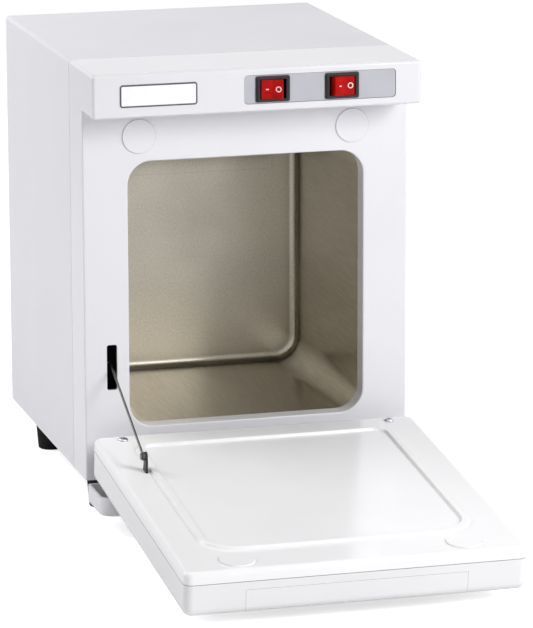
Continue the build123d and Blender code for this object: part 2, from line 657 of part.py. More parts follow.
# Heater mat under the chamber floor, and the insulation that wraps the chamber
HEATER_SHEET = 1.5
HEATER_WIDTH = 150.0
HEATER_LENGTH = 130.0
HEATER_CORNER = 6.0
HEATER_Y = FACE + 118.0
LINER_UNDER = CHAMBER_FLOOR - LINER_SHEET
with BuildPart() as heater_mat:
    with BuildSketch(Plane.XY.offset(LINER_UNDER - HEATER_SHEET)):
        with Locations((0, HEATER_Y)):
            RectangleRounded(HEATER_WIDTH, HEATER_LENGTH, HEATER_CORNER)
    extrude(amount=HEATER_SHEET)
save(heater_mat, "heater_mat")

WRAP_FRONT = FACE + INSULATION_START
LINER_BACK = CHAMBER_BACK + LINER_SHEET
WRAP_BACK = LINER_BACK + INSULATION
with BuildPart() as chamber_insulation:
    with BuildSketch(front_plane(WRAP_BACK)):
        with Locations((0, OPENING_MIDDLE)):
            RectangleRounded(
                2 * (LINER_HALF + INSULATION),
                CHAMBER_HEIGHT + 2 * (LINER_SHEET + INSULATION),
                CHAMBER_CORNER + INSULATION,
            )
    extrude(amount=WRAP_BACK - WRAP_FRONT)
    with BuildSketch(front_plane(LINER_BACK)):
        with Locations((0, OPENING_MIDDLE)):
            RectangleRounded(
                2 * LINER_HALF, CHAMBER_HEIGHT + 2 * LINER_SHEET, CHAMBER_CORNER + LINER_SHEET
            )
    extrude(amount=LINER_BACK - WRAP_FRONT, mode=Mode.SUBTRACT)
    with BuildSketch(Plane.XY.offset(LINER_UNDER - HEATER_SHEET)):
        with Locations((0, HEATER_Y)):
            RectangleRounded(HEATER_WIDTH, HEATER_LENGTH, HEATER_CORNER)
    extrude(amount=HEATER_SHEET, mode=Mode.SUBTRACT)
save(chamber_insulation, "chamber_insulation")

# Chamber saddles: two folded channels that carry the wrapped chamber on the base pan
WRAP_UNDER = LINER_UNDER - INSULATION
SADDLE_SHEET = 1.2
SADDLE_TOP = 34.0
SADDLE_FOOT = 12.0
SADDLE_LENGTH = 160.0
SADDLE_FRONT_Y = FACE + 70.0
SADDLE_BACK_Y = FACE + 180.0
saddle_rise = WRAP_UNDER - FLOOR - PAN_SHEET
half = SADDLE_TOP / 2
foot = half + SADDLE_FOOT
with BuildPart() as chamber_saddles:
    for saddle_y in (SADDLE_FRONT_Y, SADDLE_BACK_Y):
        end = Plane(
            origin=(-SADDLE_LENGTH / 2, saddle_y, FLOOR + PAN_SHEET),
            x_dir=(0, 1, 0),
            z_dir=(1, 0, 0),
        )
        with BuildSketch(end):
            with BuildLine():
                Polyline(
                    (-foot, 0),
                    (-half, 0),
                    (-half, saddle_rise - SADDLE_SHEET),
                    (half, saddle_rise - SADDLE_SHEET),
                    (half, 0),
                    (foot, 0),
                    (foot, SADDLE_SHEET),
                    (half + SADDLE_SHEET, SADDLE_SHEET),
                    (half + SADDLE_SHEET, saddle_rise),
                    (-half - SADDLE_SHEET, saddle_rise),
                    (-half - SADDLE_SHEET, SADDLE_SHEET),
                    (-foot, SADDLE_SHEET),
                    close=True,
                )
            make_face()
        extrude(amount=SADDLE_LENGTH)
save(chamber_saddles, "chamber_saddles")

# Ultraviolet lamp across the top rear of the chamber, with caps, holders and a slotted guard
LAMP_Y = CHAMBER_BACK - 19.0
LAMP_Z = CHAMBER_ROOF - 19.0
LAMP_RADIUS = 7.8
LAMP_WALL = 0.8
LAMP_HALF = 62.0
LAMP_CAP = 7.0
LAMP_CAP_RADIUS = 8.0
with BuildPart() as uv_lamp:
    with BuildSketch(side_plane(-LAMP_HALF)):
        with Locations((LAMP_Y, LAMP_Z)):
            Circle(LAMP_RADIUS)
            Circle(LAMP_RADIUS - LAMP_WALL, mode=Mode.SUBTRACT)
    extrude(amount=2 * LAMP_HALF)
save(uv_lamp, "uv_lamp")

with BuildPart() as lamp_caps:
    with BuildSketch(side_plane(LAMP_HALF)):
        with Locations((LAMP_Y, LAMP_Z)):
            Circle(LAMP_CAP_RADIUS)
    extrude(amount=LAMP_CAP)
    mirror(about=Plane.YZ)
save(lamp_caps, "lamp_caps")

HOLDER_SHEET = 10.0
HOLDER_RADIUS = 10.0
HOLDER_DROP = 12.0
HOLDER_SHOULDER_Y = CHAMBER_BACK - 9.0
with BuildPart() as lamp_holders:
    with BuildSketch(side_plane(LAMP_HALF + LAMP_CAP)):
        with BuildLine():
            ThreePointArc(
                (LAMP_Y, LAMP_Z - HOLDER_RADIUS),
                (LAMP_Y - HOLDER_RADIUS, LAMP_Z),
                (LAMP_Y, LAMP_Z + HOLDER_RADIUS),
            )
            Polyline(
                (LAMP_Y, LAMP_Z + HOLDER_RADIUS),
                (HOLDER_SHOULDER_Y, LAMP_Z + HOLDER_RADIUS),
                (CHAMBER_BACK, LAMP_Z),
                (CHAMBER_BACK, LAMP_Z - HOLDER_DROP),
                (LAMP_Y, LAMP_Z - HOLDER_RADIUS),
            )
        make_face()
    extrude(amount=HOLDER_SHEET)
    mirror(about=Plane.YZ)
save(lamp_holders, "lamp_holders")

GUARD_SHEET = 0.8
GUARD_HALF = 79.0
GUARD_LOWER_DROP = 54.0
GUARD_UPPER_DROP = 42.0
GUARD_KNEE_DROP = 36.0
GUARD_KNEE_REACH = 34.0
GUARD_BEND_REACH = 40.0
GUARD_LIP_REACH = 52.0
GUARD_SLOT_PITCH = 14.0
GUARD_SLOTS = 11
GUARD_SLOT_LENGTH = 24.0
GUARD_SLOT_WIDTH = 6.0
GUARD_SLOT_DROP = 20.0
with BuildPart() as lamp_guard:
    with BuildSketch(side_plane(-GUARD_HALF)):
        with BuildLine():
            Polyline(
                (CHAMBER_BACK - GUARD_SHEET, CHAMBER_ROOF - GUARD_LOWER_DROP),
                (CHAMBER_BACK - GUARD_SHEET, CHAMBER_ROOF - GUARD_UPPER_DROP),
                (CHAMBER_BACK - GUARD_KNEE_REACH, CHAMBER_ROOF - GUARD_KNEE_DROP),
                (CHAMBER_BACK - GUARD_BEND_REACH, CHAMBER_ROOF - GUARD_SHEET),
                (CHAMBER_BACK - GUARD_LIP_REACH, CHAMBER_ROOF - GUARD_SHEET),
            )
            offset(amount=GUARD_SHEET, side=Side.RIGHT)
        make_face()
    extrude(amount=2 * GUARD_HALF)
    with BuildSketch(front_plane(LAMP_Y - LAMP_RADIUS)):
        with Locations((0, CHAMBER_ROOF - GUARD_SLOT_DROP)):
            with GridLocations(GUARD_SLOT_PITCH, 0, GUARD_SLOTS, 1):
                SlotOverall(GUARD_SLOT_LENGTH, GUARD_SLOT_WIDTH, rotation=90)
    extrude(amount=GUARD_LIP_REACH, mode=Mode.SUBTRACT)
save(lamp_guard, "lamp_guard")

# Lamp gear on the base pan, in the space to the right of the chamber
GEAR_X = LINER_HALF + INSULATION + 11.5
PAN_TOP = FLOOR + PAN_SHEET
BALLAST_Y = FACE + 105.0
BALLAST_FOOT_LENGTH = 92.0
BALLAST_FOOT_WIDTH = 14.0
BALLAST_FOOT_SHEET = 1.2
CORE_WIDTH = 20.0
CORE_LENGTH = 62.0
CORE_HEIGHT = 24.0
COIL_WIDTH = 15.0
COIL_LENGTH = 76.0
COIL_CORNER = 5.0
COIL_RISE = 7.0
COIL_HEIGHT = 13.0
with BuildPart() as lamp_ballast:
    with BuildSketch(Plane.XY.offset(PAN_TOP)):
        with Locations((GEAR_X, BALLAST_Y)):
            SlotOverall(BALLAST_FOOT_LENGTH, BALLAST_FOOT_WIDTH, rotation=90)
    extrude(amount=BALLAST_FOOT_SHEET)
    with BuildSketch(Plane.XY.offset(PAN_TOP + BALLAST_FOOT_SHEET)):
        with Locations((GEAR_X, BALLAST_Y)):
            Rectangle(CORE_WIDTH, CORE_LENGTH)
    extrude(amount=CORE_HEIGHT)
    with BuildSketch(Plane.XY.offset(PAN_TOP + COIL_RISE)):
        with Locations((GEAR_X, BALLAST_Y)):
            RectangleRounded(COIL_WIDTH, COIL_LENGTH, COIL_CORNER)
    extrude(amount=COIL_HEIGHT)
save(lamp_ballast, "lamp_ballast")

STARTER_Y = FACE + 172.0
STARTER_SOCKET_WIDTH = 22.0
STARTER_SOCKET_LENGTH = 30.0
STARTER_SOCKET_CORNER = 3.0
STARTER_SOCKET_HEIGHT = 9.0
with BuildPart() as starter_socket:
    with BuildSketch(Plane.XY.offset(PAN_TOP)):
        with Locations((GEAR_X, STARTER_Y)):
            RectangleRounded(STARTER_SOCKET_WIDTH, STARTER_SOCKET_LENGTH, STARTER_SOCKET_CORNER)
    extrude(amount=STARTER_SOCKET_HEIGHT)
save(starter_socket, "starter_socket")

STARTER_RADIUS = 10.5
STARTER_HEIGHT = 34.0
STARTER_ROUND = 2.0
with BuildPart() as lamp_starter:
    with BuildSketch(Plane.XY.offset(PAN_TOP + STARTER_SOCKET_HEIGHT)):
        with Locations((GEAR_X, STARTER_Y)):
            Circle(STARTER_RADIUS)
    extrude(amount=STARTER_HEIGHT)
    fillet(lamp_starter.edges().group_by(Axis.Z)[-1], STARTER_ROUND)
save(lamp_starter, "lamp_starter")

BLOCK_Y = FACE + 212.0
POLE_PITCH = 14.0
POLES = 3
POLE_WIDTH = 14.0
POLE_LENGTH = 10.0
POLE_HEIGHT = 7.0
BLOCK_WIDTH = 18.0
BLOCK_BASE = 7.0
CLAMP_PITCH = 6.0
CLAMP_RADIUS = 1.8
CLAMP_DEPTH = 5.0
with BuildPart() as terminal_block:
    with BuildSketch(Plane.XY.offset(PAN_TOP)):
        with Locations((GEAR_X, BLOCK_Y)):
            Rectangle(BLOCK_WIDTH, POLES * POLE_PITCH)
    extrude(amount=BLOCK_BASE)
    with BuildSketch(Plane.XY.offset(PAN_TOP + BLOCK_BASE)):
        with Locations((GEAR_X, BLOCK_Y)):
            with GridLocations(0, POLE_PITCH, 1, POLES):
                Rectangle(POLE_WIDTH, POLE_LENGTH)
    extrude(amount=POLE_HEIGHT)
    with BuildSketch(Plane.XY.offset(PAN_TOP + BLOCK_BASE + POLE_HEIGHT)):
        with Locations((GEAR_X, BLOCK_Y)):
            with GridLocations(CLAMP_PITCH, POLE_PITCH, 2, POLES):
                Circle(CLAMP_RADIUS)
    extrude(amount=-CLAMP_DEPTH, mode=Mode.SUBTRACT)
save(terminal_block, "terminal_block")

# Rubber feet: tapered, hollow from below for their screws
FOOT_TOP_RADIUS = 14.0
FOOT_BOTTOM_RADIUS = 11.2
FOOT_WELL_RADIUS = 5.5
FOOT_SEAT = 9.0
FOOT_ROUND = 1.5
with BuildPart() as rubber_feet:
    for foot_x, foot_y in foot_points:
        with BuildSketch(Plane(origin=(foot_x, foot_y, 0), x_dir=(1, 0, 0), z_dir=(0, -1, 0))):
            with BuildLine():
                Polyline(
                    (FOOT_SCREW_HOLE, FOOT_HEIGHT),
                    (FOOT_SCREW_HOLE, FOOT_HEIGHT - FOOT_SEAT),
                    (FOOT_WELL_RADIUS, FOOT_HEIGHT - FOOT_SEAT),
                    (FOOT_WELL_RADIUS, 0),
                    (FOOT_BOTTOM_RADIUS - FOOT_ROUND, 0),
                )
                RadiusArc(
                    (FOOT_BOTTOM_RADIUS - FOOT_ROUND, 0),
                    (FOOT_BOTTOM_RADIUS, FOOT_ROUND),
                    -FOOT_ROUND,
                )
                Polyline(
                    (FOOT_BOTTOM_RADIUS, FOOT_ROUND),
                    (FOOT_TOP_RADIUS, FOOT_HEIGHT),
                    (FOOT_SCREW_HOLE, FOOT_HEIGHT),
                )
            make_face()
        revolve(axis=Axis((foot_x, foot_y, 0), (0, 0, 1)))
save(rubber_feet, "rubber_feet")

FOOT_SCREW_RADIUS = 2.5
FOOT_SCREW_HEAD = 4.6
FOOT_SCREW_HEAD_HEIGHT = 3.0
FOOT_SCREW_ROUND = 1.5
FOOT_NUT_RADIUS = 4.6
FOOT_NUT_HEIGHT = 4.0
THREAD_END = 1.0
with BuildPart() as foot_screws:
    with BuildSketch(Plane.XY.offset(FOOT_HEIGHT - FOOT_SEAT)):
        with Locations(*foot_points):
            Circle(FOOT_SCREW_HEAD)
    extrude(amount=-FOOT_SCREW_HEAD_HEIGHT)
    fillet(foot_screws.edges().group_by(Axis.Z)[0], FOOT_SCREW_ROUND)
    with BuildSketch(Plane.XY.offset(FOOT_HEIGHT - FOOT_SEAT)):
        with Locations(*foot_points):
            Circle(FOOT_SCREW_RADIUS)
    extrude(amount=FOOT_SEAT + PAN_SHEET + FOOT_NUT_HEIGHT + THREAD_END)
    with BuildSketch(Plane.XY.offset(PAN_TOP)):
        with Locations(*foot_points):
            RegularPolygon(FOOT_NUT_RADIUS, 6)
    extrude(amount=FOOT_NUT_HEIGHT)
save(foot_screws, "foot_screws")

# Hinge arms: a foot plate bolted under the pan, with a web that rises to the pin's eye
ARM_SHEET = 3.0
ARM_FOOT_SHEET = 2.0
ARM_FOOT_BACK = FACE + 30.0
ARM_FOOT_FRONT = FACE - 4.0
ARM_FOOT_INNER = 98.0
EYE_RADIUS = 7.0
EYE_CORNER = 6.0
SHELF_CORNER = 4.0
BUSH_RADIUS = 4.0
BUSH_FLANGE_RADIUS = 5.4
BUSH_FLANGE_SHEET = 0.8
ARM_LIFT = 3.4
ARM_GAP = 0.4
ARM_OUTER = HINGE_ARM_X + ARM_SHEET / 2
ARM_FOOT_X = (ARM_FOOT_INNER + ARM_OUTER) / 2
ARM_FOOT_Y = (ARM_FOOT_BACK + ARM_FOOT_FRONT) / 2


def hinge_arm(side):
    """Hinge arm on one side of the case, with side -1 at the left and 1 at the right."""
    with BuildPart() as arm:
        with BuildSketch(Plane.XY.offset(FLOOR)):
            with Locations((side * ARM_FOOT_X, ARM_FOOT_Y)):
                Rectangle(ARM_OUTER - ARM_FOOT_INNER, ARM_FOOT_BACK - ARM_FOOT_FRONT)
            with Locations((side * HINGE_SCREW_X, HINGE_SCREW_Y)):
                Circle(HINGE_SCREW_HOLE, mode=Mode.SUBTRACT)
        extrude(amount=-ARM_FOOT_SHEET)
        web = Plane(
            origin=(side * HINGE_ARM_X - ARM_SHEET / 2, HINGE_Y, HINGE_Z),
            x_dir=(0, 1, 0),
            z_dir=(1, 0, 0),
        )
        base = -HINGE_UP - ARM_FOOT_SHEET
        shelf = -HINGE_UP + ARM_LIFT
        root = HINGE_OUT - ARM_GAP
        with BuildSketch(web):
            with BuildLine():
                Line((-EYE_RADIUS, 0), (-EYE_RADIUS, base + EYE_CORNER))
                RadiusArc(
                    (-EYE_RADIUS, base + EYE_CORNER), (-EYE_RADIUS + EYE_CORNER, base), -EYE_CORNER
                )
                Polyline(
                    (-EYE_RADIUS + EYE_CORNER, base),
                    (root, base),
                    (root, shelf),
                    (EYE_RADIUS + SHELF_CORNER, shelf),
                )
                RadiusArc(
                    (EYE_RADIUS + SHELF_CORNER, shelf),
                    (EYE_RADIUS, shelf + SHELF_CORNER),
                    SHELF_CORNER,
                )
                Line((EYE_RADIUS, shelf + SHELF_CORNER), (EYE_RADIUS, 0))
                ThreePointArc((EYE_RADIUS, 0), (0, EYE_RADIUS), (-EYE_RADIUS, 0))
            make_face()
            Circle(BUSH_RADIUS, mode=Mode.SUBTRACT)
        extrude(amount=ARM_SHEET)
    return arm


def hinge_bush(side):
    """Flanged nylon bush in the eye of one hinge arm; its flange faces the cabinet's middle."""
    eye = Plane(
        origin=(side * (HINGE_ARM_X - ARM_SHEET / 2), HINGE_Y, HINGE_Z),
        x_dir=(0, 1, 0),
        z_dir=(side, 0, 0),
    )
    with BuildPart() as bush:
        with BuildSketch(eye):
            Circle(BUSH_RADIUS)
        extrude(amount=ARM_SHEET)
        with BuildSketch(eye):
            Circle(BUSH_FLANGE_RADIUS)
        extrude(amount=-BUSH_FLANGE_SHEET)
        with BuildSketch(eye):
            Circle(HINGE_PIN_RADIUS + HINGE_CLEARANCE)
        extrude(amount=ARM_SHEET, both=True, mode=Mode.SUBTRACT)
    return bush


left_hinge_arm = hinge_arm(-1)
save(left_hinge_arm, "left_hinge_arm")
right_hinge_arm = hinge_arm(1)
save(right_hinge_arm, "right_hinge_arm")
left_hinge_bush = hinge_bush(-1)
save(left_hinge_bush, "left_hinge_bush")
right_hinge_bush = hinge_bush(1)
save(right_hinge_bush, "right_hinge_bush")

HINGE_SCREW_HEAD = 3.8
HINGE_SCREW_HEAD_HEIGHT = 2.4
HINGE_NUT_RADIUS = 4.0
HINGE_NUT_HEIGHT = 3.2
with BuildPart() as hinge_screws:
    with BuildSketch(Plane.XY.offset(FLOOR - ARM_FOOT_SHEET)):
        with Locations(*hinge_screw_points):
            Circle(HINGE_SCREW_HEAD)
    extrude(amount=-HINGE_SCREW_HEAD_HEIGHT)
    fillet(hinge_screws.edges().group_by(Axis.Z)[0], SCREW_HEAD_ROUND)
    with BuildSketch(Plane.XY.offset(FLOOR - ARM_FOOT_SHEET)):
        with Locations(*hinge_screw_points):
            Circle(HINGE_SCREW_HOLE - SHANK_PLAY)
    extrude(amount=ARM_FOOT_SHEET + PAN_SHEET + HINGE_NUT_HEIGHT + THREAD_END)
    with BuildSketch(Plane.XY.offset(PAN_TOP)):
        with Locations(*hinge_screw_points):
            RegularPolygon(HINGE_NUT_RADIUS, 6)
    extrude(amount=HINGE_NUT_HEIGHT)
save(hinge_screws, "hinge_screws")

# Drip tray: a gutter under the door's hinge line, with a tongue that slides under the base pan
TRAY_HALF = HALF - 1.0
TRAY_GAP = 1.2
TRAY_REACH = 52.0
TRAY_RIM = FLOOR - 2.5
TRAY_FLOOR = FLOOR - 18.0
TRAY_WALL = 2.0
TRAY_CORNER = 12.0
TRAY_REAR_CORNER = 2.5
TRAY_UNDER_ROUND = 2.4
TONGUE_HALF = 88.0
TONGUE_BACK = FACE + 120.0
TONGUE_FRONT = FACE - TRAY_GAP - 1.0
TONGUE_TOP = FLOOR - 4.2
TONGUE_SHEET = 1.8
TONGUE_WINDOW_Y = FACE + 60.0
TONGUE_WINDOWS = 3
TONGUE_WINDOW_PITCH = 44.0
TONGUE_WINDOW_WIDTH = 30.0
TONGUE_WINDOW_LENGTH = 80.0
TONGUE_WINDOW_CORNER = 8.0
TRAY_MIDDLE = FACE - (TRAY_GAP + TRAY_REACH) / 2
TRAY_LENGTH = TRAY_REACH - TRAY_GAP
with BuildPart() as drip_tray:
    with BuildSketch(Plane.XY.offset(TRAY_FLOOR)) as gutter:
        with Locations((0, TRAY_MIDDLE)):
            Rectangle(2 * TRAY_HALF, TRAY_LENGTH)
        fillet(gutter.vertices().group_by(Axis.Y)[0], TRAY_CORNER)
        fillet(gutter.vertices().group_by(Axis.Y)[-1], TRAY_REAR_CORNER)
    extrude(amount=TRAY_RIM - TRAY_FLOOR)
    fillet(drip_tray.faces().sort_by(Axis.Z)[0].edges(), TRAY_UNDER_ROUND)
    offset(amount=-TRAY_WALL, openings=drip_tray.faces().sort_by(Axis.Z)[-1])
    with BuildSketch(Plane.XY.offset(TONGUE_TOP)):
        with Locations((0, (TONGUE_BACK + TONGUE_FRONT) / 2)):
            Rectangle(2 * TONGUE_HALF, TONGUE_BACK - TONGUE_FRONT)
    extrude(amount=-TONGUE_SHEET)
    with BuildSketch(Plane.XY.offset(TONGUE_TOP)):
        with Locations((0, TONGUE_WINDOW_Y)):
            with GridLocations(TONGUE_WINDOW_PITCH, 0, TONGUE_WINDOWS, 1):
                RectangleRounded(TONGUE_WINDOW_WIDTH, TONGUE_WINDOW_LENGTH, TONGUE_WINDOW_CORNER)
    extrude(amount=-TONGUE_SHEET, mode=Mode.SUBTRACT)
save(drip_tray, "drip_tray")

# Tray rails: two folded strips under the base pan that the tongue's edges ride in
RAIL_PLAY = 0.5
RAIL_SHEET = 1.2
RAIL_LEDGE = 8.0
RAIL_ROOF = 6.0
RAIL_FRONT = FACE + 34.0
RAIL_BACK = FACE + 150.0
rail_inner = TONGUE_HALF + RAIL_PLAY
rail_top = TONGUE_TOP - TONGUE_SHEET - RAIL_PLAY
with BuildPart() as tray_rails:
    with BuildSketch(front_plane(RAIL_BACK)):
        with BuildLine():
            Polyline(
                (rail_inner - RAIL_LEDGE, rail_top),
                (rail_inner, rail_top),
                (rail_inner, FLOOR - RAIL_SHEET),
                (rail_inner - RAIL_ROOF, FLOOR - RAIL_SHEET),
                (rail_inner - RAIL_ROOF, FLOOR),
                (rail_inner + RAIL_SHEET, FLOOR),
                (rail_inner + RAIL_SHEET, rail_top - RAIL_SHEET),
                (rail_inner - RAIL_LEDGE, rail_top - RAIL_SHEET),
                close=True,
            )
        make_face()
    extrude(amount=RAIL_BACK - RAIL_FRONT)
    mirror(about=Plane.YZ)
save(tray_rails, "tray_rails")

# Door shell: the moulded outer half, notched at its tail for the two hinge arms
DOOR_CORNER = 7.0
DOOR_EDGE = 6.5
DOOR_FACE_EDGE = 4.0
NOTCH_WIDTH = 6.6
NOTCH_REACH = 8.6
NOTCH_BEYOND = 20.0
GRIP_HALF = 88.0
GRIP_DEPTH = 21.0
GRIP_HEIGHT = 19.5
with BuildPart() as door_shell:
    with BuildSketch(door_plane(-DOOR_BELOW)) as slab:
        with Locations((0, DOOR_MIDDLE)):
            RectangleRounded(DOOR_WIDTH, DOOR_LENGTH, DOOR_CORNER)
    extrude(amount=DOOR_SEAM + DOOR_BELOW)
    outer_face = door_shell.faces().sort_by(DOOR_NORMAL)[0]
    fillet(outer_face.edges(), DOOR_EDGE)
    with BuildSketch(door_plane(-DOOR_BELOW + DOOR_WALL)):
        with Locations((0, DOOR_MIDDLE)):
            RectangleRounded(
                DOOR_WIDTH - 2 * DOOR_WALL, DOOR_LENGTH - 2 * DOOR_WALL, DOOR_CORNER - DOOR_WALL
            )
    extrude(amount=DOOR_SEAM + DOOR_BELOW, mode=Mode.SUBTRACT)
    for side in (-1, 1):
        with BuildSketch(door_side_plane(side * HINGE_ARM_X)):
            with Locations((NOTCH_REACH, NOTCH_REACH)):
                Rectangle(
                    NOTCH_REACH + NOTCH_BEYOND,
                    NOTCH_REACH + NOTCH_BEYOND,
                    align=(Align.MAX, Align.MAX),
                )
        extrude(amount=NOTCH_WIDTH / 2, both=True, mode=Mode.SUBTRACT)
    with BuildSketch(door_plane(-DOOR_BELOW)):
        with Locations((0, DOOR_TIP)):
            Rectangle(2 * GRIP_HALF, 2 * GRIP_DEPTH)
    extrude(amount=GRIP_HEIGHT, mode=Mode.SUBTRACT)
save(door_shell, "door_shell")

# Door grip: a scooped handhold let into the middle of the door's free edge
GRIP_GAP = 0.15
GRIP_RIM = 4.0
SCOOP_WIDTH = 150.0
SCOOP_LENGTH = 12.0
SCOOP_DEPTH = 14.0
SCOOP_CORNER = 5.5
SCOOP_INSET = 1.5
RIM_SHEET = 2.0
grip_depth = GRIP_DEPTH - GRIP_GAP
grip_height = GRIP_HEIGHT - GRIP_GAP
rim_length = GRIP_DEPTH + GRIP_RIM - DOOR_WALL
with BuildPart() as door_grip:
    with BuildSketch(door_side_plane(GRIP_GAP - GRIP_HALF)) as section:
        with Locations((DOOR_TIP - grip_depth / 2, grip_height / 2 - DOOR_BELOW)):
            Rectangle(grip_depth, grip_height)
        outer_corner = section.vertices().sort_by(Axis.Y)[:2].sort_by(Axis.X)[-1]
        fillet(outer_corner, DOOR_EDGE)
        with Locations((DOOR_TIP - DOOR_WALL, DOOR_WALL - DOOR_BELOW)):
            Rectangle(rim_length, RIM_SHEET, align=(Align.MAX, Align.MIN))
    extrude(amount=-2 * (GRIP_HALF - GRIP_GAP))
    with BuildSketch(door_plane(-DOOR_BELOW)):
        with Locations((0, DOOR_TIP - GRIP_DEPTH / 2 - SCOOP_INSET)):
            RectangleRounded(SCOOP_WIDTH, SCOOP_LENGTH, SCOOP_CORNER)
    extrude(amount=SCOOP_DEPTH, mode=Mode.SUBTRACT)
save(door_grip, "door_grip")

# Door liner: the moulded inner half, with a raised bead, two round bosses and the stay's slit
BEAD_WIDTH = 8.5
BEAD_RISE = 2.2
BEAD_HALF = 110.0
BEAD_TAIL = 12.0
BEAD_HEAD = 251.0
BEAD_HEAD_CORNER = 30.0
BEAD_TAIL_CORNER = 18.0
BEAD_TAPER = 35
BEAD_ROUND = 1.2
LINER_SEAM_CHAMFER = 0.5
CATCH_S = CATCH_UP - HINGE_UP
STRIKE_SHEET = 2.0
STRIKE_SOCKET = 4.0
BLOCK_INNER = 108.0
BLOCK_OUTER = 119.0
BLOCK_X = (BLOCK_INNER + BLOCK_OUTER) / 2
SCREW_SHANK = 1.5
STAY_SCREW_SHANK = 1.2
STAY_SCREW_X = 117.4
STAY_SCREW_OFFSET = 4.5
STAY_SCREW_BITE = 1.8
EAR_INNER = 111.7
EAR_OUTER = 113.3
EAR_X = (EAR_INNER + EAR_OUTER) / 2
EAR_BASE_HALF = 5.0
SLIT_PLAY = 0.2
door_screw_points = [(-BLOCK_X, 0), (BLOCK_X, 0)]
stay_screw_points = [
    (STAY_SCREW_X, STAY_REACH + offset) for offset in (-STAY_SCREW_OFFSET, STAY_SCREW_OFFSET)
]
door_catch_points = [(-CATCH_X, CATCH_S), (CATCH_X, CATCH_S)]
with BuildPart() as door_liner:
    with BuildSketch(door_plane(DOOR_SEAM)):
        with Locations((0, DOOR_MIDDLE)):
            RectangleRounded(DOOR_WIDTH, DOOR_LENGTH, DOOR_CORNER)
    extrude(amount=DOOR_LINER_RIM)
    inner_face = door_liner.faces().sort_by(DOOR_NORMAL)[-1]
    fillet(inner_face.edges(), DOOR_FACE_EDGE)
    seam_face = door_liner.faces().sort_by(DOOR_NORMAL)[0]
    chamfer(seam_face.edges(), LINER_SEAM_CHAMFER)
    with BuildSketch(door_plane(DOOR_FACE)) as bead:
        with Locations((0, (BEAD_TAIL + BEAD_HEAD) / 2)):
            Rectangle(2 * BEAD_HALF, BEAD_HEAD - BEAD_TAIL)
        fillet(bead.vertices().group_by(Axis.Y)[-1], BEAD_HEAD_CORNER)
        fillet(bead.vertices().group_by(Axis.Y)[0], BEAD_TAIL_CORNER)
        offset(amount=-BEAD_WIDTH, mode=Mode.SUBTRACT)
    extrude(amount=BEAD_RISE, taper=BEAD_TAPER)
    bead_top = door_liner.faces().sort_by(DOOR_NORMAL)[-1]
    fillet(bead_top.edges(), BEAD_ROUND)
    with BuildSketch(door_plane(DOOR_FACE)):
        with Locations(*door_catch_points):
            Circle(CATCH_RADIUS)
    extrude(amount=CATCH_RISE, taper=CATCH_TAPER)
    with BuildSketch(door_plane(DOOR_SEAM)):
        with Locations((0, DOOR_MIDDLE)):
            RectangleRounded(
                DOOR_WIDTH - 2 * DOOR_WALL, DOOR_LENGTH - 2 * DOOR_WALL, DOOR_CORNER - DOOR_WALL
            )
    extrude(amount=DOOR_LINER_RIM - DOOR_WALL, mode=Mode.SUBTRACT)
    with BuildSketch(door_plane(DOOR_FACE - DOOR_WALL - STRIKE_SOCKET)):
        with Locations(*door_catch_points):
            Circle(MAGNET_RADIUS + SOCKET_WALL)
            Circle(MAGNET_RADIUS, mode=Mode.SUBTRACT)
    extrude(amount=STRIKE_SOCKET)
    with BuildSketch(door_plane(DOOR_FACE)):
        with Locations(*door_screw_points):
            Circle(SCREW_SHANK + SHANK_PLAY)
        with Locations((EAR_X, STAY_REACH)):
            Rectangle(EAR_OUTER - EAR_INNER + 2 * SLIT_PLAY, 2 * (EAR_BASE_HALF + SLIT_PLAY))
    extrude(amount=-DOOR_WALL, mode=Mode.SUBTRACT)
    with BuildSketch(door_plane(DOOR_FACE - DOOR_WALL)):
        with Locations(*stay_screw_points):
            Circle(STAY_SCREW_SHANK)
    extrude(amount=STAY_SCREW_BITE, mode=Mode.SUBTRACT)
save(door_liner, "door_liner")

# Strike discs under the liner's bosses, which the catch magnets pull
with BuildPart() as door_strikes:
    with BuildSketch(door_plane(DOOR_FACE - DOOR_WALL)):
        with Locations(*door_catch_points):
            Circle(MAGNET_RADIUS)
    extrude(amount=-STRIKE_SHEET)
save(door_strikes, "door_strikes")

# Door insulation: a foam slab between the two halves, pocketed for the stay bracket's foot
FOAM_HALF = 130.0
FOAM_TAIL = 16.0
FOAM_HEAD = 248.0
FOAM_POCKET_X = 116.4
FOAM_POCKET_WIDTH = 11.0
FOAM_POCKET_LENGTH = 17.0
FOAM_POCKET_DEPTH = 3.0
with BuildPart() as door_insulation:
    with BuildSketch(door_plane(-DOOR_BELOW + DOOR_WALL)):
        with Locations((0, (FOAM_TAIL + FOAM_HEAD) / 2)):
            Rectangle(2 * FOAM_HALF, FOAM_HEAD - FOAM_TAIL)
    extrude(amount=DOOR_THICKNESS - 2 * DOOR_WALL)
    with BuildSketch(door_plane(DOOR_FACE - DOOR_WALL)):
        with Locations((FOAM_POCKET_X, STAY_REACH)):
            Rectangle(FOAM_POCKET_WIDTH, FOAM_POCKET_LENGTH)
    extrude(amount=-FOAM_POCKET_DEPTH, mode=Mode.SUBTRACT)
save(door_insulation, "door_insulation")

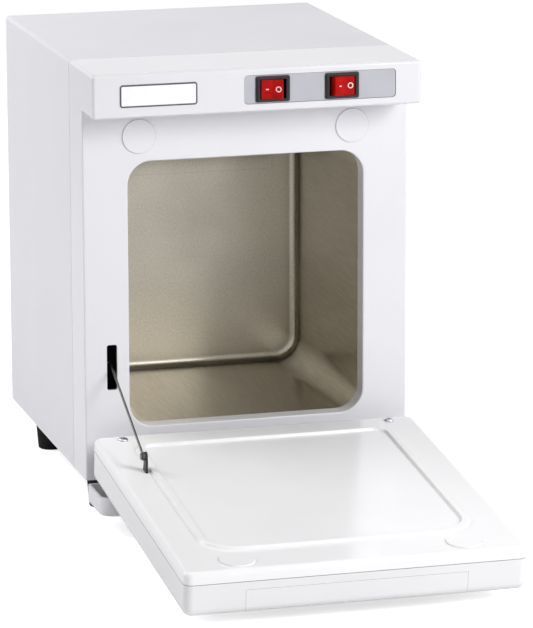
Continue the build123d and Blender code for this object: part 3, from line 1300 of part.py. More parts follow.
# Hinge blocks inside the door's tail, each holding one pin that turns in an arm's bush
BLOCK_HALF = 8.0
PIN_INNER = BLOCK_INNER + 1.5
PIN_OUTER = ARM_OUTER + 1.4
SCREW_BORE = 17.0
SCREW_LENGTH = 16.0
with BuildPart() as hinge_blocks:
    with BuildSketch(door_side_plane(-BLOCK_INNER)):
        with Locations((0, (DOOR_FACE - DOOR_BELOW) / 2)):
            Rectangle(2 * BLOCK_HALF, DOOR_THICKNESS - 2 * DOOR_WALL)
    extrude(amount=BLOCK_OUTER - BLOCK_INNER)
    with BuildSketch(door_side_plane(-PIN_INNER)):
        Circle(HINGE_PIN_RADIUS)
    extrude(amount=BLOCK_OUTER, mode=Mode.SUBTRACT)
    mirror(about=Plane.YZ)
    with BuildSketch(door_plane(DOOR_FACE - DOOR_WALL)):
        with Locations(*door_screw_points):
            Circle(SCREW_SHANK + SHANK_PLAY)
    extrude(amount=-SCREW_BORE, mode=Mode.SUBTRACT)
save(hinge_blocks, "hinge_blocks")

with BuildPart() as hinge_pins:
    with BuildSketch(door_side_plane(-PIN_INNER)):
        Circle(HINGE_PIN_RADIUS)
    extrude(amount=PIN_OUTER - PIN_INNER)
    mirror(about=Plane.YZ)
save(hinge_pins, "hinge_pins")

BLOCK_SCREW_HEAD = 4.0
BLOCK_SCREW_HEAD_HEIGHT = 2.1
BLOCK_SCREW_ROUND = 1.4
with BuildPart() as hinge_block_screws:
    with BuildSketch(door_plane(DOOR_FACE)):
        with Locations(*door_screw_points):
            Circle(BLOCK_SCREW_HEAD)
    extrude(amount=BLOCK_SCREW_HEAD_HEIGHT)
    fillet(hinge_block_screws.edges().group_by(DOOR_NORMAL)[-1], BLOCK_SCREW_ROUND)
    with BuildSketch(door_plane(DOOR_FACE)):
        with Locations(*door_screw_points):
            Circle(SCREW_SHANK)
    extrude(amount=-SCREW_LENGTH)
save(hinge_block_screws, "hinge_block_screws")

# Stay bracket: an ear that stands through the liner's slit on a foot fixed under the liner
BRACKET_SHEET = 1.2
BRACKET_OUTER = 121.0
BRACKET_HALF = 7.5
BRACKET_TOP = DOOR_FACE - DOOR_WALL
STAY_PIN_RADIUS = 1.5
STAY_CLEARANCE = 0.05
STAY_N = DOOR_FACE + STAY_RISE
EAR_TIP_RADIUS = 3.4
with BuildPart() as stay_bracket:
    with BuildSketch(door_plane(BRACKET_TOP)):
        with Locations(((BRACKET_OUTER + EAR_INNER) / 2, STAY_REACH)):
            Rectangle(BRACKET_OUTER - EAR_INNER, 2 * BRACKET_HALF)
        with Locations(*stay_screw_points):
            Circle(STAY_SCREW_SHANK + SHANK_PLAY, mode=Mode.SUBTRACT)
    extrude(amount=-BRACKET_SHEET)
    with BuildSketch(door_side_plane(-EAR_INNER)):
        with BuildLine():
            ThreePointArc(
                (STAY_REACH + EAR_TIP_RADIUS, STAY_N),
                (STAY_REACH, STAY_N + EAR_TIP_RADIUS),
                (STAY_REACH - EAR_TIP_RADIUS, STAY_N),
            )
            Polyline(
                (STAY_REACH - EAR_TIP_RADIUS, STAY_N),
                (STAY_REACH - EAR_BASE_HALF, DOOR_FACE),
                (STAY_REACH - EAR_BASE_HALF, BRACKET_TOP),
                (STAY_REACH + EAR_BASE_HALF, BRACKET_TOP),
                (STAY_REACH + EAR_BASE_HALF, DOOR_FACE),
                (STAY_REACH + EAR_TIP_RADIUS, STAY_N),
            )
        make_face()
        with Locations((STAY_REACH, STAY_N)):
            Circle(STAY_PIN_RADIUS, mode=Mode.SUBTRACT)
    extrude(amount=EAR_OUTER - EAR_INNER)
save(stay_bracket, "stay_bracket")

STAY_PIN_HEAD_X = 115.9
STAY_PIN_HEAD_RADIUS = 2.8
STAY_PIN_HEAD_SHEET = 0.9
with BuildPart() as stay_pin:
    with BuildSketch(door_side_plane(-EAR_INNER)):
        with Locations((STAY_REACH, STAY_N)):
            Circle(STAY_PIN_RADIUS)
    extrude(amount=STAY_PIN_HEAD_X - EAR_INNER)
    with BuildSketch(door_side_plane(-STAY_PIN_HEAD_X)):
        with Locations((STAY_REACH, STAY_N)):
            Circle(STAY_PIN_HEAD_RADIUS)
    extrude(amount=STAY_PIN_HEAD_SHEET)
save(stay_pin, "stay_pin")

STAY_SCREW_HEAD = 2.4
STAY_SCREW_HEAD_HEIGHT = 1.4
STAY_SCREW_ROUND = 0.9
with BuildPart() as stay_bracket_screws:
    with BuildSketch(door_plane(BRACKET_TOP - BRACKET_SHEET)):
        with Locations(*stay_screw_points):
            Circle(STAY_SCREW_HEAD)
    extrude(amount=-STAY_SCREW_HEAD_HEIGHT)
    fillet(stay_bracket_screws.edges().group_by(DOOR_NORMAL)[0], STAY_SCREW_ROUND)
    with BuildSketch(door_plane(BRACKET_TOP - BRACKET_SHEET)):
        with Locations(*stay_screw_points):
            Circle(STAY_SCREW_SHANK)
    extrude(amount=BRACKET_SHEET + STAY_SCREW_BITE)
save(stay_bracket_screws, "stay_bracket_screws")

# Wire stay: an eye on the bracket's pin, a straight run through the slot, and a bent-over end
STAY_EYE_INNER = STAY_PIN_RADIUS + STAY_CLEARANCE
STAY_EYE_OUTER = STAY_EYE_INNER + STAY_WIRE
STAY_EYE_MIDDLE = (STAY_EYE_INNER + STAY_EYE_OUTER) / 2
STAY_BEND = 3.0
STAY_HOOK = 11.0
STOP_GAP = 0.3
stay_eye_y = HINGE_Y - STAY_REACH * cos(DROOP) - STAY_N * sin(DROOP)
stay_eye_z = HINGE_Z - STAY_REACH * sin(DROOP) + STAY_N * cos(DROOP)
stay_run = FACE - stay_eye_y
stay_rise = FLOOR + STAY_CROSSING - stay_eye_z
stay_length = hypot(stay_run, stay_rise)
stay_end_y = FACE + BEZEL_WALL + GUIDE_SHEET + STAY_WIRE / 2 + STOP_GAP
stay_end_z = stay_eye_z + (stay_end_y - stay_eye_y) * stay_rise / stay_run
stay_start_y = stay_eye_y + STAY_EYE_MIDDLE * stay_run / stay_length
stay_start_z = stay_eye_z + STAY_EYE_MIDDLE * stay_rise / stay_length
with BuildPart() as stay_rod:
    with BuildLine() as wire:
        FilletPolyline(
            (STAY_X, stay_start_y, stay_start_z),
            (STAY_X, stay_end_y, stay_end_z),
            (STAY_X - STAY_HOOK, stay_end_y, stay_end_z),
            radius=STAY_BEND,
        )
    with BuildSketch(Plane(origin=wire.line @ 0, z_dir=wire.line % 0)):
        Circle(STAY_WIRE / 2)
    sweep()
    with BuildSketch(side_plane(STAY_X)):
        with Locations((stay_eye_y, stay_eye_z)):
            Circle(STAY_EYE_OUTER)
    extrude(amount=STAY_WIRE / 2, both=True)
    with BuildSketch(side_plane(STAY_X)):
        with Locations((stay_eye_y, stay_eye_z)):
            Circle(STAY_EYE_INNER)
    extrude(amount=STAY_WIRE, both=True, mode=Mode.SUBTRACT)
save(stay_rod, "stay_rod")
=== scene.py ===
"""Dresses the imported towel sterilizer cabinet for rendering.

Each CAD node keeps its shape and takes a procedural material. The cross-recessed screws, the marks
on the rockers and the label's printed border are built here. The scene is in metres, and what is
built here is given in millimetres.
"""

import logging
import math
from collections.abc import Iterable
from dataclasses import dataclass, field, replace
from enum import Enum
from typing import Any

import bmesh
import bpy
from mathutils import Matrix, Vector

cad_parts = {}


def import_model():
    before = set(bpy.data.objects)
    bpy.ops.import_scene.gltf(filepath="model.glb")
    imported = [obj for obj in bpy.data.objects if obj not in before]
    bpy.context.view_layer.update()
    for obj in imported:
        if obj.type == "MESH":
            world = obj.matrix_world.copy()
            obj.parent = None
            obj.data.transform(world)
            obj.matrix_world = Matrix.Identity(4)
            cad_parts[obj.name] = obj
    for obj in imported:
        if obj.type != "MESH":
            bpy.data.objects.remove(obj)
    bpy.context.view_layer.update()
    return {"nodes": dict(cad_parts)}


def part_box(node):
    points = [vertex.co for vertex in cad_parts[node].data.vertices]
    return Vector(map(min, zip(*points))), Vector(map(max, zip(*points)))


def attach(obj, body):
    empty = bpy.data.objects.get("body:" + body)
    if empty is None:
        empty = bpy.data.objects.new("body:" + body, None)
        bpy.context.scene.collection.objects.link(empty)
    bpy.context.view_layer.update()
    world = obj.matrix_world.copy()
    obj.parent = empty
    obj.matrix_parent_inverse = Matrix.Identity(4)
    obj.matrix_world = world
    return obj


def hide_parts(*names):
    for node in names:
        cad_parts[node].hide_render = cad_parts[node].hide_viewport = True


log = logging.getLogger("cabinet")
MM = 0.001
# Vertices nearer than this are one.
WELD_MM = 0.001


# Finishes

# Inputs and output of Blender's mix node that hold colours.
MIX_FIRST = 6
MIX_SECOND = 7
MIX_RESULT = 2
# Blender's noise hardly leaves this range, so it is stretched from it.
NOISE_LOW = 0.3
NOISE_HIGH = 0.7
PATCH_DETAIL = 2.0
GRAIN_ROUGHNESS = 0.55
CELL_RANDOMNESS = 0.9
# Share of open surroundings at which the painted crevice shade is full, and at which it is gone.
PAINTED_SHADE_FULL_AT = 0.25
PAINTED_SHADE_GONE_AT = 0.8
PAINTED_SHADE_SAMPLES = 8
# How far light goes into a translucent plastic.
SCATTER_MM = 1.2


class Pattern(Enum):
    """What breaks up a surface when it is seen close to."""

    MOULDED = "moulded"
    ORANGE_PEEL = "orange peel"
    DRAWN = "drawn"
    SPANGLE = "spangle"
    FIBRE = "fibre"
    BEADED = "beaded"


@dataclass(frozen=True)
class Finish:
    """A real surface: its colours, its gloss and the sizes of what breaks it up, and the shade
    painted into its crevices.
    """

    name: str
    shade: str
    patch_shade: str
    roughness: float
    pattern: Pattern = Pattern.MOULDED
    metallic: float = 0.0
    ior: float = 1.5
    transmission: float = 0.0
    scatter: float = 0.0
    gloss_spread: float = 0.06
    patch_mm: float = 70.0
    grain_mm: float = 2.5
    grain_depth_mm: float = 0.01
    stretch: tuple[float, float, float] = (1.0, 1.0, 1.0)
    # Painted shade: the colour laid into crevices where the surroundings close in, and how far out
    # it reaches.
    painted_shade_in_crevices: str = ""
    painted_shade_reach_mm: float = 4.0


# Octaves of noise in the grain, where a pattern has more than one.
GRAIN_DETAIL = {Pattern.FIBRE: 6.0, Pattern.DRAWN: 3.0}


def linear(shade: str) -> tuple[float, float, float, float]:
    """Turns an sRGB hex value into a linear colour.

    Args:
        shade: Six hex digits with a leading hash.

    Returns:
        Red, green, blue and an alpha of one.
    """
    channels = [int(shade[i : i + 2], 16) / 255 for i in (1, 3, 5)]
    r, g, b = (c / 12.92 if c <= 0.04045 else ((c + 0.055) / 1.055) ** 2.4 for c in channels)
    return r, g, b, 1.0


def add_node(
    tree: bpy.types.NodeTree, kind: str, inputs: dict[str | int, Any] | None = None, **settings: Any
) -> bpy.types.Node:
    """Adds a node with its settings, values and links.

    Args:
        tree: The node tree that takes the node.
        kind: The node's type name.
        inputs: Values or output sockets, by the name or index of the input that takes them.
        **settings: The node's own properties.

    Returns:
        The new node.
    """
    node = tree.nodes.new(kind)
    for key, value in settings.items():
        setattr(node, key, value)
    for key, value in (inputs or {}).items():
        if isinstance(value, bpy.types.NodeSocket):
            tree.links.new(value, node.inputs[key])
        else:
            node.inputs[key].default_value = value
    return node


def grain_height(
    tree: bpy.types.NodeTree, finish: Finish, place: bpy.types.NodeSocket
) -> bpy.types.NodeSocket:
    """Makes the fine relief that a finish's pattern asks for.

    Args:
        tree: The material's node tree.
        finish: The surface that is made.
        place: The position on the piece, in metres.

    Returns:
        The socket that holds the relief's height from zero to one.
    """
    scale = 1 / (finish.grain_mm * MM)
    if finish.pattern in (Pattern.SPANGLE, Pattern.BEADED):
        cells = add_node(
            tree,
            "ShaderNodeTexVoronoi",
            {"Vector": place, "Scale": scale, "Randomness": CELL_RANDOMNESS},
            feature="F1" if finish.pattern is Pattern.SPANGLE else "SMOOTH_F1",
        )
        return cells.outputs["Distance"]
    detail = GRAIN_DETAIL.get(finish.pattern, 1.0)
    noise = add_node(
        tree,
        "ShaderNodeTexNoise",
        {"Vector": place, "Scale": scale, "Detail": detail, "Roughness": GRAIN_ROUGHNESS},
    )
    return noise.outputs["Fac"]


def add_painted_crevice_shade(
    tree: bpy.types.NodeTree, colour: bpy.types.NodeSocket, finish: Finish
) -> bpy.types.NodeSocket:
    """Paints shade into a colour where two surfaces nearly meet and the surroundings close in.

    Args:
        tree: The material's node tree.
        colour: The surface's colour before painted shade is added.
        finish: The surface that is made.

    Returns:
        The colour with painted shade in its crevices, or the plain colour where the finish has
        none.
    """
    if not finish.painted_shade_in_crevices:
        return colour
    open_share = add_node(
        tree,
        "ShaderNodeAmbientOcclusion",
        {"Distance": finish.painted_shade_reach_mm * MM},
        samples=PAINTED_SHADE_SAMPLES,
    ).outputs["AO"]
    unshaded_share = add_node(
        tree,
        "ShaderNodeMapRange",
        {"Value": open_share, "From Min": PAINTED_SHADE_FULL_AT, "From Max": PAINTED_SHADE_GONE_AT},
    ).outputs["Result"]
    mix = add_node(
        tree,
        "ShaderNodeMix",
        {"Factor": unshaded_share, MIX_FIRST: linear(finish.painted_shade_in_crevices), MIX_SECOND: colour},
        data_type="RGBA",
    )
    return mix.outputs[MIX_RESULT]


def make_material(finish: Finish) -> bpy.types.Material:
    """Builds the node material of a finish.

    Args:
        finish: The surface that is made.

    Returns:
        The material, named for the finish.
    """
    material = bpy.data.materials.new(finish.name)
    material.use_nodes = True
    tree = material.node_tree
    tree.nodes.clear()
    place = add_node(tree, "ShaderNodeTexCoord").outputs["Object"]
    mapping = add_node(tree, "ShaderNodeMapping", {"Vector": place, "Scale": finish.stretch})
    drawn = mapping.outputs["Vector"]
    patches = add_node(
        tree,
        "ShaderNodeTexNoise",
        {"Vector": drawn, "Scale": 1 / (finish.patch_mm * MM), "Detail": PATCH_DETAIL},
    ).outputs["Fac"]
    height = grain_height(tree, finish, drawn)
    mottle = patches
    if finish.pattern is Pattern.SPANGLE:
        cells = add_node(
            tree, "ShaderNodeTexVoronoi", {"Vector": drawn, "Scale": 1 / (finish.grain_mm * MM)}
        )
        parts = add_node(tree, "ShaderNodeSeparateColor", {"Color": cells.outputs["Color"]})
        mottle = parts.outputs["Red"]
    elif finish.pattern in (Pattern.DRAWN, Pattern.FIBRE, Pattern.BEADED):
        mottle = height
    weight = add_node(
        tree,
        "ShaderNodeMapRange",
        {"Value": mottle, "From Min": NOISE_LOW, "From Max": NOISE_HIGH},
    ).outputs["Result"]
    colour = add_node(
        tree,
        "ShaderNodeMix",
        {
            "Factor": weight,
            MIX_FIRST: linear(finish.shade),
            MIX_SECOND: linear(finish.patch_shade),
        },
        data_type="RGBA",
    ).outputs[MIX_RESULT]
    rough = add_node(
        tree,
        "ShaderNodeMapRange",
        {
            "Value": patches,
            "From Min": NOISE_LOW,
            "From Max": NOISE_HIGH,
            "To Min": finish.roughness - finish.gloss_spread / 2,
            "To Max": finish.roughness + finish.gloss_spread / 2,
        },
    ).outputs["Result"]
    relief = add_node(
        tree,
        "ShaderNodeBump",
        {"Height": height, "Strength": 1.0, "Distance": finish.grain_depth_mm * MM},
    ).outputs["Normal"]
    # The base colour carries the painted crevice shade.
    shader = add_node(
        tree,
        "ShaderNodeBsdfPrincipled",
        {
            "Base Color": add_painted_crevice_shade(tree, colour, finish),
            "Roughness": rough,
            "Normal": relief,
            "Metallic": finish.metallic,
            "IOR": finish.ior,
            "Transmission Weight": finish.transmission,
            "Subsurface Weight": finish.scatter,
            "Subsurface Scale": SCATTER_MM * MM,
        },
    )
    add_node(tree, "ShaderNodeOutputMaterial", {"Surface": shader.outputs["BSDF"]})
    return material


# Polyester powder on sheet steel: an even satin white with a shallow orange peel. The real peel is
# about 1 mm across, and is drawn at 3 mm so that it shows.
# Grey shade is painted into its seams and corners.
POWDER_WHITE = Finish(
    "powder_coated_steel", "#DFDEE3", "#DCDBE0", 0.42, Pattern.ORANGE_PEEL, grain_mm=3.0,
    grain_depth_mm=0.012, patch_mm=120, painted_shade_in_crevices="#A5A4A8",
)
# Injection-moulded ABS: glossy white, with the slow waviness that a mould and its cooling leave.
# Dark grey shade is painted into its grooves and narrow gaps.
MOULDED_WHITE = Finish(
    "moulded_white_abs", "#E6E5E9", "#E3E2E6", 0.24, Pattern.MOULDED, ior=1.53, grain_mm=14,
    grain_depth_mm=0.02, patch_mm=90, painted_shade_in_crevices="#5F5E62", painted_shade_reach_mm=1.6,
)
# The door's outer half, from a second mould, is a shade whiter than the bezel.
# It keeps the bezel's dark grey shade painted into its grooves and gaps.
DOOR_WHITE = replace(MOULDED_WHITE, name="moulded_door_abs", shade="#ECEBED", patch_shade="#E9E8EA")
# The door's inner half is the same ABS from a polished mould, so it mirrors the cabinet softly. Its
# white is painted lighter, as painted light on its upturned face, with grey painted shade in its
# grooves.
POLISHED_ABS_PAINTED_LIT = Finish(
    "polished_abs_painted_lit", "#F7F7F8", "#F4F4F5", 0.18, Pattern.MOULDED, ior=1.5,
    gloss_spread=0.08, grain_mm=26, grain_depth_mm=0.05, patch_mm=55, painted_shade_in_crevices="#8F8E92",
    painted_shade_reach_mm=1.5,
)
# Screen-printed polycarbonate film: a cool light grey with a fine satin grain.
# Grey shade is painted along the edges of its pocket.
GREY_FILM = Finish(
    "printed_grey_film", "#BBBCC2", "#B4B5BC", 0.38, Pattern.ORANGE_PEEL, ior=1.5, grain_mm=0.9,
    grain_depth_mm=0.006, patch_mm=25, painted_shade_in_crevices="#7E7F86", painted_shade_reach_mm=2,
)
# Gloss vinyl on the blank label plate, and the dark ink of its border.
LABEL_WHITE = Finish(
    "white_vinyl_label", "#FAFAFB", "#F6F5F7", 0.28, Pattern.MOULDED, grain_mm=6,
    grain_depth_mm=0.006, patch_mm=20,
)
BORDER_INK = Finish(
    "dark_grey_ink", "#55545B", "#4B4A50", 0.5, Pattern.ORANGE_PEEL, grain_mm=1.0,
    grain_depth_mm=0.004,
)
# Enamel in the rockers' marks, a little pink with the red that shines through it.
MARK_PAINT = Finish(
    "white_mark_paint", "#F6E4E0", "#EDD8D3", 0.45, Pattern.ORANGE_PEEL, grain_mm=0.8,
    grain_depth_mm=0.01,
)
# Black nylon switch bodies and gland: satin, with a spark-eroded mould grain.
BLACK_NYLON = Finish(
    "black_nylon", "#121113", "#1A191B", 0.3, Pattern.BEADED, ior=1.53, grain_mm=0.9,
    grain_depth_mm=0.008, patch_mm=12,
)
# Translucent red polycarbonate: light enters a little way, so the body glows at its edges.
RED_ROCKER = Finish(
    "translucent_red_polycarbonate", "#BE100D", "#A00A09", 0.3, Pattern.MOULDED, ior=1.2,
    scatter=0.25, grain_mm=5, grain_depth_mm=0.01, patch_mm=8,
)
# Undyed nylon of the bushes, the terminal block and the starter's socket.
NATURAL_NYLON = Finish(
    "natural_nylon", "#E4E0D3", "#DBD6C6", 0.5, Pattern.MOULDED, ior=1.53, grain_mm=3,
    grain_depth_mm=0.02,
)
# Deep-drawn aluminium, oxidised by steam: warm grey, with draw marks running into the chamber.
# Dark shade is painted into the chamber's corners, reaching 24 mm out.
DRAWN_ALUMINIUM = Finish(
    "deep_drawn_aluminium", "#C3BDB0", "#B2AC9F", 0.34, Pattern.DRAWN, metallic=1.0,
    gloss_spread=0.12, grain_mm=1.6, grain_depth_mm=0.02, patch_mm=60, stretch=(1.0, 0.06, 1.0),
    painted_shade_in_crevices="#4C4840", painted_shade_reach_mm=24,
)
# Bright aluminium of the rivets.
BARE_ALUMINIUM = Finish(
    "rolled_aluminium", "#C9C7C2", "#B9B7B2", 0.32, Pattern.DRAWN, metallic=1.0, grain_mm=0.8,
    grain_depth_mm=0.008, stretch=(0.08, 1.0, 1.0),
)
# Hot-dip galvanised sheet: zinc crystals about 5 mm across, each with its own tone.
# Grey shade is painted into its seams and corners.
GALVANISED = Finish(
    "galvanised_sheet", "#B9BDC1", "#ADB1B6", 0.4, Pattern.SPANGLE, metallic=1.0, gloss_spread=0.15,
    grain_mm=5.0, grain_depth_mm=0.006, painted_shade_in_crevices="#5E6164",
)
# Bright zinc plating on screws and brackets: bluish, with a faint rolled grain.
# Near-black shade is painted into the screws' cross recesses and tight corners.
ZINC_PLATE = Finish(
    "bright_zinc_plate", "#D5D8DC", "#C3C7CC", 0.3, Pattern.DRAWN, metallic=1.0, grain_mm=0.7,
    grain_depth_mm=0.006, patch_mm=9, painted_shade_in_crevices="#1E1F21", painted_shade_reach_mm=1.5,
)
# Drawn spring-steel wire: darker than plate, with lines along its length.
STEEL_WIRE = Finish(
    "drawn_steel_wire", "#6B6866", "#4A4846", 0.3, Pattern.DRAWN, metallic=1.0, grain_mm=0.5,
    grain_depth_mm=0.01, patch_mm=14, stretch=(1.0, 0.1, 0.25),
)
# Chemically blackened steel: a thin dark oxide, oiled, that lets the metal's sheen through.
BLACK_OXIDE = Finish(
    "black_oxide_steel", "#161516", "#201F1F", 0.4, Pattern.DRAWN, ior=1.4, grain_mm=0.8,
    grain_depth_mm=0.006, patch_mm=8,
)
# Brass blades of the switches.
BLADE_BRASS = Finish(
    "tinned_brass", "#C9A868", "#B7934F", 0.3, Pattern.DRAWN, metallic=1.0, grain_mm=0.6,
    grain_depth_mm=0.005,
)
# Moulded nitrile rubber: near black, dull, with a dusty bloom in patches.
FOOT_RUBBER = Finish(
    "moulded_rubber", "#0F0E0E", "#1A1918", 0.75, Pattern.BEADED, ior=1.3, gloss_spread=0.12,
    grain_mm=1.2, grain_depth_mm=0.03, patch_mm=10,
)
# Brick-red silicone of the heater under the chamber, with the weave of its glass cloth.
SILICONE_MAT = Finish(
    "red_silicone_heater_mat", "#A5402C", "#953622", 0.6, Pattern.BEADED, grain_mm=1.5,
    grain_depth_mm=0.05,
)
# Needled felt round the chamber: matt and fibrous. Its near-black colour is painted shade, standing
# in for the dark of the stay's slot where it shows.
FELT_PAINTED_SLOT_SHADE = Finish(
    "felt_with_painted_slot_shade", "#1C1B1B", "#2B2A29", 0.95, Pattern.FIBRE, gloss_spread=0.0, grain_mm=4,
    grain_depth_mm=0.8,
)
# Polystyrene beads, 3 to 4 mm across, in the door.
EXPANDED_FOAM = Finish(
    "expanded_polystyrene", "#F2F2F0", "#E3E3E0", 0.8, Pattern.BEADED, grain_mm=3.5,
    grain_depth_mm=0.3,
)
# Clear quartz of the ultraviolet lamp.
LAMP_GLASS = Finish(
    "quartz_lamp_glass", "#F4F6FA", "#E9EDF5", 0.05, Pattern.MOULDED, ior=1.46, transmission=0.9,
    gloss_spread=0.02, grain_mm=8, grain_depth_mm=0.01,
)
# Unglazed off-white ceramic of the lamp's caps and holders.
STEATITE = Finish(
    "steatite", "#E7E3DA", "#DAD5CA", 0.55, Pattern.BEADED, grain_mm=1.0, grain_depth_mm=0.02
)
# Sintered magnets, dark grey with a little sheen.
FERRITE = Finish(
    "ferrite", "#3B3A3B", "#2E2D2E", 0.55, Pattern.BEADED, metallic=0.4, grain_mm=0.8,
    grain_depth_mm=0.01,
)
# Dark brown phenolic resin of the thermostat's case.
BAKELITE = Finish(
    "bakelite", "#2A1C14", "#1E130D", 0.35, Pattern.MOULDED, ior=1.6, grain_mm=2,
    grain_depth_mm=0.01,
)

# The finish of each CAD node.
NODE_FINISHES: dict[str, Finish] = {
    "outer_cover": POWDER_WHITE,
    "base_pan": GALVANISED,
    "back_panel": GALVANISED,
    "rear_screws": ZINC_PLATE,
    "cord_gland": BLACK_NYLON,
    "front_bezel": MOULDED_WHITE,
    "label_plate": LABEL_WHITE,
    "switch_inlay": GREY_FILM,
    "uv_switch_housing": BLACK_NYLON,
    "power_switch_housing": BLACK_NYLON,
    "uv_switch_terminals": BLADE_BRASS,
    "power_switch_terminals": BLADE_BRASS,
    "catch_magnets": FERRITE,
    "stay_guide": BLACK_NYLON,
    "chamber_liner": DRAWN_ALUMINIUM,
    "thermostat": BAKELITE,
    "thermal_fuse": ZINC_PLATE,
    "liner_rivets": BARE_ALUMINIUM,
    "heater_mat": SILICONE_MAT,
    "chamber_insulation": FELT_PAINTED_SLOT_SHADE,
    "chamber_saddles": GALVANISED,
    "uv_lamp": LAMP_GLASS,
    "lamp_caps": STEATITE,
    "lamp_holders": STEATITE,
    "lamp_guard": DRAWN_ALUMINIUM,
    "lamp_ballast": ZINC_PLATE,
    "starter_socket": NATURAL_NYLON,
    "lamp_starter": LABEL_WHITE,
    "terminal_block": NATURAL_NYLON,
    "rubber_feet": FOOT_RUBBER,
    "foot_screws": ZINC_PLATE,
    "left_hinge_arm": ZINC_PLATE,
    "right_hinge_arm": ZINC_PLATE,
    "left_hinge_bush": NATURAL_NYLON,
    "right_hinge_bush": NATURAL_NYLON,
    "hinge_screws": ZINC_PLATE,
    "tray_rails": GALVANISED,
    "door_shell": DOOR_WHITE,
    "door_grip": DOOR_WHITE,
    "door_liner": POLISHED_ABS_PAINTED_LIT,
    "door_strikes": ZINC_PLATE,
    "door_insulation": EXPANDED_FOAM,
    "hinge_blocks": ZINC_PLATE,
    "hinge_pins": STEEL_WIRE,
    "hinge_block_screws": ZINC_PLATE,
    "stay_bracket": BLACK_OXIDE,
    "stay_pin": STEEL_WIRE,
    "stay_bracket_screws": ZINC_PLATE,
    "stay_rod": STEEL_WIRE,
    "drip_tray": MOULDED_WHITE,
    "uv_rocker": RED_ROCKER,
    "power_rocker": RED_ROCKER,
}


@dataclass
class Workshop:
    """Makes each finish's material once and dresses meshes and CAD nodes with it."""

    materials: dict[str, bpy.types.Material] = field(default_factory=dict)

    def material(self, finish: Finish) -> bpy.types.Material:
        """Returns the material of a finish, made on first use."""
        if finish.name not in self.materials:
            self.materials[finish.name] = make_material(finish)
        return self.materials[finish.name]

    def dress(self, piece: bpy.types.Object, finish: Finish) -> None:
        """Gives a piece one finish all over.

        Args:
            piece: The mesh object to dress.
            finish: The surface that it takes.
        """
        piece.data.materials.clear()
        piece.data.materials.append(self.material(finish))

    def piece(
        self, name: str, shape: bmesh.types.BMesh, body: str, finish: Finish
    ) -> bpy.types.Object:
        """Turns a finished bmesh into a piece that rides on a CAD body.

        Args:
            name: The piece's name.
            shape: Its mesh, in place in the shared frame. It is freed.
            body: The CAD body that carries it.
            finish: Its surface.

        Returns:
            The new object.
        """
        mesh = bpy.data.meshes.new(name)
        shape.to_mesh(mesh)
        shape.free()
        made = bpy.data.objects.new(name, mesh)
        bpy.context.scene.collection.objects.link(made)
        self.dress(made, finish)
        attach(made, body)
        log.info("%s: %d faces on %s", name, len(mesh.polygons), body)
        return made


# Fasteners


